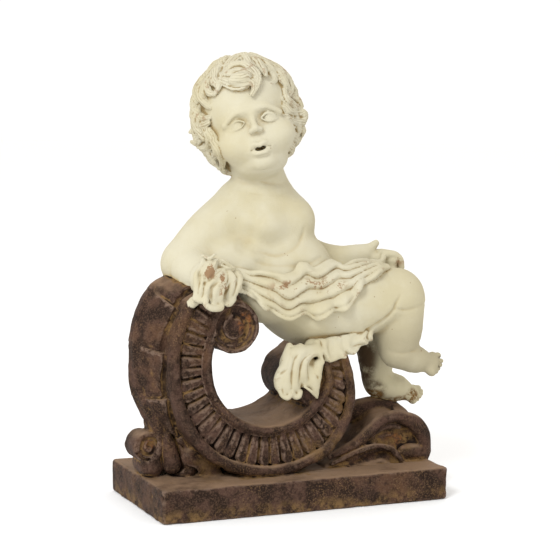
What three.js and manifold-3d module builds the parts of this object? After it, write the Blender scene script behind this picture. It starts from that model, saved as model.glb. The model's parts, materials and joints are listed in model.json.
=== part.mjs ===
// A painted putto statuette: a chubby child leans on a C-scroll with fluted faces, on a low plinth.
// The whole work is one casting. Millimetres, +Z up, origin at the middle of the plinth's underside.
// +X runs along the plinth towards the feet, and -Y is the front that the child faces.
import * as THREE from "three";
import { mergeVertices } from "three/addons/utils/BufferGeometryUtils.js";
import Module from "manifold-3d";

const wasm = await Module();
wasm.setup();

// Driving dimensions
const PLINTH = { length: 307, depth: 156, height: 33, corner: 6, bevel: 3 };
const SCROLL = { x: -33, z: 145, inner: 62, outer: 108, halfWidth: 52 };
const FLUTES = { count: 33, start: 122, pitch: 7.5, depth: 7, crown: 4 };
const LEFT_VOLUTE = { x: -72, z: 182, radius: 25.5, halfWidth: 53 };
const RIGHT_VOLUTE = { x: 26.5, z: 121, radius: 28, halfWidth: 53 };
const SIDE_LEAF = { halfWidth: 33, crown: 15, thickness: 9, lobes: 5 };
const LEAF_ROLL = { x: -143, z: 56, radius: 17.5, halfWidth: 22 };
const WAVE_LEAF = { halfWidth: 41, start: 52, crest: 112, crestHeight: 84, end: 157 };
const HEAD = { centre: [-38, -4, 380], yaw: -17, pitch: 6, tilt: 10, width: 49, depth: 51, height: 55 };
const TOES = 5;

const degrees = THREE.MathUtils.degToRad;
const vector = (p) => new THREE.Vector3(...p);
const smooth = THREE.MathUtils.smoothstep;
const mix = THREE.MathUtils.lerp;

// Solids

// A closed geometry as a solid, turned right side out where its faces point inwards.
function solid(geometry) {
  const bare = geometry.index ? geometry.toNonIndexed() : geometry.clone();
  bare.deleteAttribute("normal");
  bare.deleteAttribute("uv");
  const merged = mergeVertices(bare, 1e-4);
  const make = (triVerts) =>
    new wasm.Manifold(
      new wasm.Mesh({ numProp: 3, vertProperties: merged.attributes.position.array, triVerts }),
    );
  const made = make(new Uint32Array(merged.index.array));
  return made.volume() > 0 ? made : make(new Uint32Array(merged.index.array).reverse());
}

function unite(solids) {
  return solids.reduce((whole, piece) => whole.add(piece));
}

function meshGeometry(points, triangles) {
  const geometry = new THREE.BufferGeometry().setFromPoints(points);
  geometry.setIndex(triangles);
  return geometry;
}

// An ellipsoid with its own three axes. turn is an Euler rotation in degrees.
function ball(centre, radii, turn = [0, 0, 0], sides = 9) {
  const geometry = new THREE.SphereGeometry(1, sides, Math.round(sides * 0.66));
  geometry.scale(...radii);
  geometry.rotateX(degrees(turn[0])).rotateY(degrees(turn[1])).rotateZ(degrees(turn[2]));
  return solid(geometry.translate(...centre));
}

// A round-ended tube along a smooth curve through the points, with a radius at each point.
// pleats sets how many folds run along it, which deepen towards its far end.
function tube(points, radii, options = {}) {
  const { sides = 9, steps = 4, flat = 1, up = [0, 0, 1], pleats = 0, depth = 0.2 } = options;
  const curve = new THREE.CatmullRomCurve3(points.map(vector));
  const radiusAt = (t) => {
    const place = t * (radii.length - 1);
    const k = Math.min(Math.floor(place), radii.length - 2);
    return mix(radii[k], radii[k + 1], smooth(place - k, 0, 1));
  };
  const stations = [[0, -0.68, 0.73]];
  for (let i = 0; i <= steps; i++) stations.push([i / steps, 0, 1]);
  stations.push([1, 0.68, 0.73]);
  const vertices = [];
  let side = new THREE.Vector3().crossVectors(vector(up), curve.getTangent(0));
  for (const [t, along, share] of stations) {
    const tangent = curve.getTangent(t);
    side = side.clone().addScaledVector(tangent, -side.dot(tangent)).normalize();
    const across = new THREE.Vector3().crossVectors(tangent, side);
    const radius = radiusAt(t);
    const centre = curve.getPoint(t).addScaledVector(tangent, along * radius);
    for (let j = 0; j < sides; j++) {
      const a = (j / sides) * 2 * Math.PI;
      const reach = radius * share * (pleats ? 1 + depth * t * Math.cos(pleats * a) : 1);
      vertices.push(
        centre
          .clone()
          .addScaledVector(side, Math.cos(a) * reach)
          .addScaledVector(across, Math.sin(a) * reach * flat),
      );
    }
  }
  const first = vertices.length;
  vertices.push(curve.getPoint(0).addScaledVector(curve.getTangent(0), -radii[0]));
  vertices.push(curve.getPoint(1).addScaledVector(curve.getTangent(1), radii.at(-1)));
  const triangles = [];
  const lastRing = first - sides;
  for (let j = 0; j < sides; j++) {
    const next = (j + 1) % sides;
    triangles.push(first, next, j, first + 1, lastRing + j, lastRing + next);
    for (let ring = 0; ring < lastRing; ring += sides) {
      triangles.push(ring + j, ring + next, ring + sides + next);
      triangles.push(ring + j, ring + sides + next, ring + sides + j);
    }
  }
  return solid(meshGeometry(vertices, triangles));
}

// A closed slab: pointAt(u, v) gives its face, and its back lies a thickness behind it.
function slab(columns, rows, pointAt, thickness) {
  const faceRow = rows + 1;
  const count = (columns + 1) * faceRow;
  const face = [];
  const back = [];
  for (let i = 0; i <= columns; i++) {
    for (let j = 0; j <= rows; j++) {
      const [u, v, d] = [i / columns, j / rows, 1e-3];
      const here = pointAt(u, v);
      const alongU = pointAt(Math.min(u + d, 1), v).sub(pointAt(Math.max(u - d, 0), v));
      const alongV = pointAt(u, Math.min(v + d, 1)).sub(pointAt(u, Math.max(v - d, 0)));
      const normal = alongU.cross(alongV).normalize();
      face.push(here);
      back.push(here.clone().addScaledVector(normal, -thickness));
    }
  }
  const triangles = [];
  const quad = (a, b, c, d) => triangles.push(a, b, c, a, c, d);
  const at = (i, j) => i * faceRow + j;
  for (let i = 0; i < columns; i++) {
    for (let j = 0; j < rows; j++) {
      quad(at(i, j), at(i + 1, j), at(i + 1, j + 1), at(i, j + 1));
      quad(count + at(i, j), count + at(i, j + 1), count + at(i + 1, j + 1), count + at(i + 1, j));
    }
    quad(at(i, 0), count + at(i, 0), count + at(i + 1, 0), at(i + 1, 0));
    quad(at(i, rows), at(i + 1, rows), count + at(i + 1, rows), count + at(i, rows));
  }
  for (let j = 0; j < rows; j++) {
    quad(at(0, j), at(0, j + 1), count + at(0, j + 1), count + at(0, j));
    quad(at(columns, j), count + at(columns, j), count + at(columns, j + 1), at(columns, j + 1));
  }
  return solid(meshGeometry([...face, ...back], triangles));
}

// Plinth

function plinth() {
  const { length, depth, height, corner, bevel } = PLINTH;
  const [x, y] = [length / 2 - bevel, depth / 2 - bevel];
  const outline = new THREE.Shape();
  outline.moveTo(-x + corner, -y);
  outline.lineTo(x - corner, -y).quadraticCurveTo(x, -y, x, -y + corner);
  outline.lineTo(x, y - corner).quadraticCurveTo(x, y, x - corner, y);
  outline.lineTo(-x + corner, y).quadraticCurveTo(-x, y, -x, y - corner);
  outline.lineTo(-x, -y + corner).quadraticCurveTo(-x, -y, -x + corner, -y);
  const geometry = new THREE.ExtrudeGeometry(outline, {
    depth: height - 2 * bevel,
    bevelSize: bevel,
    bevelThickness: bevel,
    bevelSegments: 2,
    curveSegments: 2,
  });
  return solid(geometry.translate(0, 0, bevel));
}

// Scroll

// Outer radius of the C-scroll about its centre. The angle runs counter-clockwise from +X, in degrees:
// it swells towards the foot at 290 and draws in over both volutes.
function scrollOuter(angle) {
  const foot = 7 * Math.exp(-(((angle - 285) / 38) ** 2));
  const overLeft = 40 * (1 - smooth(angle, 104, 140));
  const overRight = 28 * smooth(angle, 322, 374);
  return SCROLL.outer + foot - overLeft - overRight;
}

// One closed section of the band, as [radius, y] points, front first.
// lift is 0 in a groove and 1 on a tongue.
function bandSection(angle, lift) {
  const inner = SCROLL.inner;
  const outer = scrollOuter(angle);
  const face = -SCROLL.halfWidth;
  const floor = face + FLUTES.depth;
  const tongue = floor - FLUTES.crown * lift;
  const span = outer - inner;
  return [
    [inner, face + 5],
    [inner + 0.1 * span, face],
    [inner + 0.17 * span, floor],
    [inner + 0.3 * span, tongue],
    [inner + 0.7 * span, tongue],
    [inner + 0.79 * span, floor],
    [inner + 0.87 * span, face - 1],
    [outer, face + 5],
    [outer, -face],
    [inner, -face],
  ];
}

// The band: each tongue takes two sections, one in the groove beside it and one along its crown.
function scrollBand() {
  const shares = [0, 0.5];
  const vertices = [];
  for (let flute = 0; flute <= FLUTES.count; flute++) {
    for (const share of flute < FLUTES.count ? shares : [0]) {
      const angle = FLUTES.start - 14 + (flute + share) * FLUTES.pitch;
      const a = degrees(angle);
      for (const [r, y] of bandSection(angle, share > 0 ? 1 : 0)) {
        vertices.push(new THREE.Vector3(SCROLL.x + r * Math.cos(a), y, SCROLL.z + r * Math.sin(a)));
      }
    }
  }
  const size = bandSection(0, 0).length;
  const triangles = [];
  const last = vertices.length - size;
  for (let ring = 0; ring < last; ring += size) {
    for (let j = 0; j < size; j++) {
      const next = (j + 1) % size;
      triangles.push(ring + j, ring + next, ring + size + next);
      triangles.push(ring + j, ring + size + next, ring + size + j);
    }
  }
  const section = bandSection(FLUTES.start, 0).map(([r, y]) => new THREE.Vector2(r, y));
  for (const [a, b, c] of THREE.ShapeUtils.triangulateShape(section, [])) {
    triangles.push(a, c, b, last + a, last + b, last + c);
  }
  return solid(meshGeometry(vertices, triangles));
}

// A roll across the work, with a ringed eye at both ends.
function roll({ x, z, radius, halfWidth }) {
  const half = [
    [0, halfWidth - 1],
    [0.34 * radius, halfWidth - 2],
    [0.5 * radius, halfWidth - 7],
    [0.74 * radius, halfWidth],
    [radius, halfWidth - 4],
  ];
  const front = half.map(([r, y]) => new THREE.Vector2(r, -y));
  const back = half.toReversed().map(([r, y]) => new THREE.Vector2(r, y));
  return solid(new THREE.LatheGeometry([...front, ...back], 12).translate(x, 0, z));
}

// Leaves

// The leaf on the scroll's back hugs the band from the elbow down, then runs into a small roll on the plinth.
function sideLeaf() {
  const { halfWidth, crown, thickness, lobes } = SIDE_LEAF;
  const pointAt = (u, v) => {
    const a = mix(133, 226, u);
    const across = 2 * v - 1;
    const lobe = 1 - 0.13 * ((u * lobes) % 1);
    const width = halfWidth * lobe * mix(1, 0.7, smooth(u, 0.6, 1));
    const swell = crown * (1 - across * across) * mix(1, 0.3, smooth(u, 0.55, 1));
    const r = scrollOuter(a) + mix(2, 5, u) + swell;
    return new THREE.Vector3(
      SCROLL.x + r * Math.cos(degrees(a)),
      width * across,
      SCROLL.z + r * Math.sin(degrees(a)),
    );
  };
  return slab(14, 6, (u, v) => pointAt(u, 1 - v), thickness);
}

// Small husk lobes that fill the corner between the side leaf's roll and the scroll.
function huskLobes() {
  return tube([[-124, 0, 68], [-119, 0, 48], [-108, 0, 34]], [14, 24, 27], {
    sides: 12,
    steps: 3,
    pleats: 6,
    up: [0, 1, 0],
  });
}

// The wave-shaped leaf under the far foot: a swelling that curls over at its right-hand end.
function waveLeaf() {
  const { halfWidth, start, crest, crestHeight, end } = WAVE_LEAF;
  const floor = PLINTH.height - 2;
  const wave = new THREE.Shape();
  wave.moveTo(start - 14, floor);
  wave.lineTo(start, floor + 14);
  wave.bezierCurveTo(start + 22, floor + 34, crest - 24, crestHeight - 2, crest, crestHeight);
  wave.bezierCurveTo(crest + 26, crestHeight, end, crestHeight - 18, end, floor + 16);
  wave.bezierCurveTo(end, floor + 6, end - 4, floor + 2, end - 9, floor);
  const body = new THREE.ExtrudeGeometry(wave, {
    depth: 2 * halfWidth - 12,
    bevelSize: 3,
    bevelOffset: -3,
    bevelThickness: 6,
    bevelSegments: 1,
    curveSegments: 5,
  });
  body.rotateX(degrees(90)).translate(0, halfWidth - 6, 0);
  const face = -halfWidth;
  const hollow = ball([crest + 16, face, 56], [19, 9, 12], [0, 14, 0]);
  const swept = ball([crest - 22, face, 50], [26, 6, 9], [0, -34, 0]);
  const lip = tube(
    [[end - 12, face + 7, 64], [end - 6, face + 6, 50], [end - 13, face + 5, 42], [end - 22, face + 6, 46]],
    [6, 8, 9, 4],
    { sides: 7 },
  );
  const lowRidge = tube(
    [
      [start + 6, face + 4, 36],
      [crest - 22, face + 2, 46],
      [crest, face + 2, 48],
      [crest + 24, face + 5, 36],
    ],
    [3, 5, 5.5, 4],
    { sides: 6 },
  );
  const topRidge = tube(
    [
      [start + 2, face + 8, 42],
      [crest - 24, face + 6, 68],
      [crest + 6, face + 8, 80],
      [end - 14, face + 9, 70],
    ],
    [3, 5, 5, 4],
    { sides: 6 },
  );
  return unite([solid(body).subtract(hollow).subtract(swept), lip, lowRidge, topRidge]);
}

// Figure

function torso() {
  return [
    tube(
      [[26, 2, 192], [14, -3, 216], [0, -5, 242], [-10, 4, 276], [-17, 6, 298]],
      [48, 47, 45, 44, 36],
      { sides: 12, steps: 6, flat: 0.9, up: [0, 1, 0] },
    ),
    tube([[-16, 10, 297], [-24, 7, 318], [-32, 3, 345]], [40, 33, 30], { sides: 10, steps: 3 }),
    ball([-54, -18, 236], [36, 24, 24]),
  ];
}

// The arm on the scroll: the elbow rests on the band and the forearm comes forward into the cloth.
function restingArm() {
  return [
    tube(
      [[-40, 10, 296], [-74, 9, 268], [-102, 4, 240], [-98, -20, 231], [-86, -44, 226]],
      [27, 26, 26, 22, 17],
      { sides: 10, steps: 6, up: [1, 0, 1] },
    ),
  ];
}

// The arm that lies along the lap, with its hand and fingers on the knee.
function lapArm() {
  const fingers = [];
  for (let i = 0; i < 4; i++) {
    const y = -16 + 7 * i;
    fingers.push(
      tube([[108, y, 244], [120, y - 1, 245], [128, y - 2, 238]], [5, 4.6, 3.8], { sides: 5, steps: 2 }),
    );
  }
  return [
    tube(
      [[8, 14, 286], [32, 22, 266], [52, 24, 248], [72, 14, 242], [92, 0, 238]],
      [27, 20, 17, 16, 12],
      { steps: 6, up: [0, 1, 0] },
    ),
    ball([103, -5, 240], [14, 14, 9]),
    tube([[96, 4, 243], [102, -2, 252], [104, -5, 256]], [6, 5, 4], { sides: 5, steps: 2 }),
    ...fingers,
  ];
}

// A foot from heel to toes, with the toes in a row across its front edge.
function foot(heel, front, rise) {
  const [h, f] = [vector(heel), vector(front)];
  const along = f.clone().sub(h);
  const across = new THREE.Vector3(-along.y, along.x, 0).normalize();
  const middle = h.clone().lerp(f, 0.5);
  const pieces = [
    tube(
      [heel, [middle.x, middle.y, middle.z + rise], front],
      [13, 13, 10],
      { sides: 8, flat: 0.95 },
    ),
  ];
  for (let i = 0; i < TOES; i++) {
    const spread = (i - (TOES - 1) / 2) / TOES;
    const big = i === 0 ? 1.4 : 1;
    const root = f.clone().addScaledVector(across, 25 * spread);
    const tip = root.clone().addScaledVector(along, 0.2 - 0.018 * i);
    const radius = 3.1 * big;
    pieces.push(
      tube([root.toArray(), tip.toArray()], [radius, radius * 0.92], { sides: 5, steps: 1 }),
    );
  }
  return pieces;
}

function legs() {
  return [
    tube(
      [[22, -20, 198], [66, -30, 201], [112, -38, 205], [117, -38, 180], [111, -39, 150]],
      [40, 35, 26, 24, 15],
      { sides: 10, steps: 8, up: [0, 1, 0] },
    ),
    ...foot([106, -40, 139], [148, -43, 135], 2),
    tube(
      [[38, 20, 200], [78, 18, 204], [114, 12, 205], [116, 9, 158], [117, 6, 112]],
      [38, 32, 25, 20, 14],
      { steps: 7, up: [0, 1, 0] },
    ),
    ...foot([115, 6, 99], [146, -2, 97], 3),
  ];
}

// Head and hair

// The head's own frame: x to the viewer's right, y out of the face and z to the crown.
function headPlace() {
  const turn = new THREE.Euler(degrees(-HEAD.pitch), degrees(-HEAD.tilt), degrees(HEAD.yaw), "ZYX");
  return new THREE.Matrix4()
    .makeRotationFromEuler(turn)
    .multiply(new THREE.Matrix4().makeScale(1, -1, 1))
    .setPosition(...HEAD.centre);
}
const HEAD_PLACE = headPlace();

// Swellings and hollows of the face: where each lies (x, out, up), its height and its spread in degrees.
const FACE_FORMS = [
  { at: [0, 50, -15], height: 12, spread: 7 },
  { at: [0, 50, -4], height: 5, spread: 6 },
  { at: [23, 34, -25], height: 6, spread: 19 },
  { at: [-23, 34, -25], height: 6, spread: 19 },
  { at: [0, 33, -48], height: 14, spread: 19 },
  { at: [16, 44, 11], height: 3, spread: 10 },
  { at: [-16, 44, 11], height: 3, spread: 10 },
  { at: [15, 46, 0], height: -4, spread: 7 },
  { at: [-15, 46, 0], height: -4, spread: 7 },
  { at: [0, 46, -31], height: -7, spread: 6 },
  { at: [0, 44, -25], height: 3, spread: 6 },
  { at: [0, 42, -37], height: 3, spread: 6 },
];

// How far the head reaches in a direction: a skull, the face's forms, and wavy locks where hair grows.
function headReach(direction) {
  const { width, depth, height } = HEAD;
  const { x, y, z } = direction;
  const jaw = 1 - 0.2 * smooth(-z, 0.25, 0.9);
  let reach = 1 / Math.hypot(x / (width * jaw), y / depth, z / height);
  for (const { at, height: rise, spread } of FACE_FORMS) {
    const away = THREE.MathUtils.radToDeg(direction.angleTo(vector(at)));
    reach += rise * Math.exp(-((away / spread) ** 2));
  }
  const azimuth = Math.atan2(x, y);
  const elevation = Math.asin(z);
  const fromFace = Math.hypot(azimuth / degrees(54), (elevation + degrees(14)) / degrees(48));
  const nape = degrees(24) * smooth(Math.abs(azimuth), degrees(95), degrees(140));
  const grown = smooth(fromFace, 0.98, 1.15) * smooth(elevation, degrees(-46) - nape, degrees(-22) - nape);
  const lock = Math.sin(azimuth * 9 + 1.6 * Math.sin(elevation * 5));
  const tier = Math.sin(elevation * 7 + 0.8 * Math.sin(azimuth * 4));
  return reach + grown * (8 + 3 * lock * Math.cos(elevation) + 2.5 * tier);
}

// The sphere's columns crowd towards the face, where the forms are small.
function head() {
  const geometry = new THREE.SphereGeometry(1, 30, 21);
  const places = geometry.attributes.position;
  for (let i = 0; i < places.count; i++) {
    const unit = new THREE.Vector3().fromBufferAttribute(places, i);
    const turn = Math.atan2(unit.x, unit.z);
    const azimuth = turn - 0.42 * Math.sin(turn);
    const level = Math.hypot(unit.x, unit.z);
    const direction = new THREE.Vector3(level * Math.sin(azimuth), level * Math.cos(azimuth), unit.y);
    const point = direction.clone().multiplyScalar(headReach(direction)).applyMatrix4(HEAD_PLACE);
    places.setXYZ(i, point.x, point.y, point.z);
  }
  return solid(geometry);
}

// The forelock falls on the brow and curls up at its tip.
function forelock() {
  const path = [[-50, -8, 440], [-72, -28, 432], [-75, -44, 422], [-62, -53, 415], [-54, -54, 406]];
  return tube(path, [8, 10, 9, 8, 5], { sides: 7, steps: 5 });
}

// Cloth

// The cloth across the lap, from the scroll to the far hand: a band between its waist edge and its wavy hem.
function lapCloth() {
  const line = (...points) => new THREE.CatmullRomCurve3(points.map(vector));
  const waist = line([-70, -34, 232], [-24, -46, 230], [12, -46, 236], [44, -34, 242], [112, -14, 244]);
  const swell = line([-72, -40, 214], [-20, -60, 212], [18, -62, 216], [50, -62, 220], [118, -26, 244]);
  const hem = line([-62, -40, 198], [-18, -56, 184], [12, -68, 188], [42, -70, 197], [100, -50, 236]);
  const pointAt = (u, v) => {
    const [a, b, c] = [waist.getPoint(u), swell.getPoint(u), hem.getPoint(u)];
    const p = a.multiplyScalar((1 - v) ** 2).addScaledVector(b, 2 * v * (1 - v)).addScaledVector(c, v * v);
    const fold = Math.sin(v * 11 + u * 5) * 2.2 * Math.sin(Math.PI * u);
    const hemWave = 4 * v * v * Math.sin(u * 21);
    return p.add(new THREE.Vector3(0, -fold, hemWave));
  };
  return slab(12, 7, (u, v) => pointAt(u, 1 - v), 9);
}

// A gathered end of cloth, pleated along its fall.
function gather(path, radii) {
  return tube(path, radii, { sides: 14, steps: 4, pleats: 7, depth: 0.22, flat: 0.8, up: [0, 1, 0] });
}

// The cloth's edge that peeps out below the near thigh, in a row of small swellings.
function seatCloth() {
  const path = [];
  const radii = [];
  const count = 9;
  for (let i = 0; i < count; i++) {
    const u = i / (count - 1);
    path.push([mix(6, 80, u), mix(-42, -47, u), mix(162, 174, u) - 5 * Math.sin(u * 3)]);
    radii.push(i % 2 ? 10 : 7.5);
  }
  return tube(path, radii, { sides: 6, steps: count - 1 });
}

function cloth() {
  return [
    lapCloth(),
    gather([[-82, -42, 242], [-89, -51, 230], [-92, -55, 212]], [14, 22, 24]),
    gather([[24, -44, 160], [4, -52, 144], [-6, -56, 126]], [13, 25, 26]),
    seatCloth(),
  ];
}

// The casting

const casting = unite([
  plinth(),
  scrollBand(),
  roll(LEFT_VOLUTE),
  roll(RIGHT_VOLUTE),
  roll(LEAF_ROLL),
  sideLeaf(),
  huskLobes(),
  waveLeaf(),
  ...torso(),
  ...restingArm(),
  ...lapArm(),
  ...legs(),
  head(),
  forelock(),
  ...cloth(),
]);

function castingMesh() {
  const { vertProperties, triVerts } = casting.getMesh();
  const geometry = new THREE.BufferGeometry();
  geometry.setAttribute("position", new THREE.BufferAttribute(vertProperties, 3));
  geometry.setIndex(new THREE.BufferAttribute(triVerts, 1));
  geometry.computeVertexNormals();
  const material = new THREE.MeshStandardMaterial({ color: 0xe6dcc0, roughness: 0.72, metalness: 0 });
  const mesh = new THREE.Mesh(geometry, material);
  mesh.name = "putto_on_scroll";
  return mesh;
}

const statuette = new THREE.Group();
statuette.add(castingMesh());
export default statuette;
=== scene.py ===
"""A painted putto statuette: a chubby child leans on a fluted C-scroll that stands on a low plinth.

The casting is modelled as a sculptor works clay. Forms are pressed together in a block of distances,
in millimetres, in the CAD's frame. The block is then meshed once, so that the figure, its cloth, the
scroll and the plinth are one closed piece, as the casting is.
"""

import json
import math
from functools import partial

import bpy
import numpy as np
import openvdb
from mathutils import Matrix, Vector
from mathutils.kdtree import KDTree

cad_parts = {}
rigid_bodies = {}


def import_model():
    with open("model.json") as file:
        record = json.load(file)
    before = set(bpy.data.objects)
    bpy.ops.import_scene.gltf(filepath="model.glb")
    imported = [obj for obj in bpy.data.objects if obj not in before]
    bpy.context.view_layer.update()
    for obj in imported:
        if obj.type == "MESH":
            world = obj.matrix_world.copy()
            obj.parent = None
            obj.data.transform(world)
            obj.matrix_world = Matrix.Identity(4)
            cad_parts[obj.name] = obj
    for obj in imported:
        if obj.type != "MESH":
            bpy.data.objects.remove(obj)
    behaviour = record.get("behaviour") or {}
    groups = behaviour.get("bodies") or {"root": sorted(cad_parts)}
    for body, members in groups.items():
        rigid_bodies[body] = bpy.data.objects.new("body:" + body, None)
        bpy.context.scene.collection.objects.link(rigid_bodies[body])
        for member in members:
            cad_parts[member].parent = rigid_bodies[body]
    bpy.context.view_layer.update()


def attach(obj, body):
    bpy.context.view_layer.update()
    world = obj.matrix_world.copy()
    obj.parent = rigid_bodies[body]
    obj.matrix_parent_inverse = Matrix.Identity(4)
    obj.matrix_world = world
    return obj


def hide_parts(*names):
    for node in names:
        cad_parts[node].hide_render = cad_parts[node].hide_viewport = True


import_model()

NODE = "putto_on_scroll"
MM = 0.001
GRAIN = 0.85
MOST_TRIANGLES = 194_000
FAR = 30.0
LAYERS = ("body", "hair", "cloth", "base")
BLOCK = (-172, -86, -4), (176, 86, 456)
LIMB_STEPS = 10
SETTLING_ROUNDS = 6
FIGURE_BLEND, CLOTH_BLEND, BASE_BLEND = 1.0, 0.8, 1.0

# Plinth and scroll, in millimetres
PLINTH = (153.5, 78.0, 33.0)
PLINTH_EDGE = 3.0
SCROLL_CENTRE = (-33.0, 145.0)
SCROLL_HALF = 52.0
SCROLL_ENDS = (117.0, 371.0)
OUTER_ANGLES = (106, 112, 121, 130, 144, 163, 180, 201, 226, 237, 270, 304, 323, 336, 356, 376, 390)
OUTER_RADII = (56, 76, 92, 103, 109, 107, 105, 107, 110, 112, 113, 115, 109, 102, 88, 78, 72)
INNER_ANGLES = (320, 342, 356, 362, 371)
INNER_RADII = (62, 62, 55, 52, 66)
TONGUE_PITCH = 7.5
TONGUE_START = 128.0
LEFT_VOLUTE = (-72.0, 182.0, 25.5)
RIGHT_VOLUTE = (26.5, 121.0, 28.0)
VOLUTE_EDGE = 3.0
LEAF_ROLL = (-146.0, 62.0, 15.0)
LEAF_ANGLES = (127.0, 231.0)
LEAF_LOBES = 4.3

# The head: its middle, and how far it is turned, tilted and raised, in degrees
HEAD_CENTRE = (-38.0, -4.0, 380.0)
HEAD_YAW, HEAD_TILT, HEAD_PITCH = -20.0, 16.0, 6.0
SCALP = np.array([47.0, 51.0, 55.0])

# The camera that the photograph was taken with, in metres and degrees
CAMERA_TARGET = (-0.0021, 0.0, 0.22134)
CAMERA_AZIMUTH, CAMERA_ELEVATION, CAMERA_ROLL = 23.99, 5.59, 0.85
CAMERA_DISTANCE = 1.6
CAMERA_LENS = 101.7

# One soft lamp over the viewer's left shoulder, a pale world and a white floor
LAMP_PLACE, LAMP_TARGET = (-2.1, -1.9, 2.2), (0, 0, 0.22)
LAMP_SIZE, LAMP_POWER, LAMP_COLOUR = 1.1, 64, (0.95, 0.98, 1.0)
WORLD_COLOUR, WORLD_STRENGTH = (1.0, 0.97, 0.935, 1), 1.08
FLOOR_SIZE, FLOOR_COLOUR, FLOOR_ROUGHNESS = 60, (0.96, 0.975, 0.99, 1), 0.9

# Painted shade in the grooves between the toes: a line and its half-width
PAINTED_TOE_SHADE = [
    ([(161, -42, 141), (165, -42, 140), (167, -41, 138)], 1.8),
    ([(156, -46, 139), (160, -47, 137), (164, -45, 133)], 1.7),
    ([(153, -50, 134), (157, -50, 132), (160, -48, 130)], 1.7),
]

rng = np.random.default_rng(7)


# Clay


def soft_min(a, b, blend):
    """The lower of two distances, with a fillet of about that size where they meet."""
    if blend <= 0:
        return np.minimum(a, b)
    share = np.clip(0.5 + 0.5 * (b - a) / blend, 0, 1)
    return b + (a - b) * share - blend * share * (1 - share)


def soft_max(a, b, blend):
    return -soft_min(-a, -b, blend)


def smooth(value, low, high):
    t = np.clip((value - low) / (high - low), 0, 1)
    return t * t * (3 - 2 * t)


def curve(points, count):
    """Places along a smooth line through the points, evenly spread over its stretches."""
    p = np.array(points, float)
    p = np.vstack([2 * p[0] - p[1], p, 2 * p[-1] - p[-2]])
    place = np.linspace(0, len(p) - 3 - 1e-6, count)
    k = place.astype(int)
    t = (place - k)[:, None]
    a, b, c, d = p[k], p[k + 1], p[k + 2], p[k + 3]
    return 0.5 * (2 * b + (c - a) * t + (2 * a - 5 * b + 4 * c - d) * t**2 + (3 * b - a - 3 * c + d) * t**3)


def spread(values, count):
    return np.interp(np.linspace(0, 1, count), np.linspace(0, 1, len(values)), values)


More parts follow.
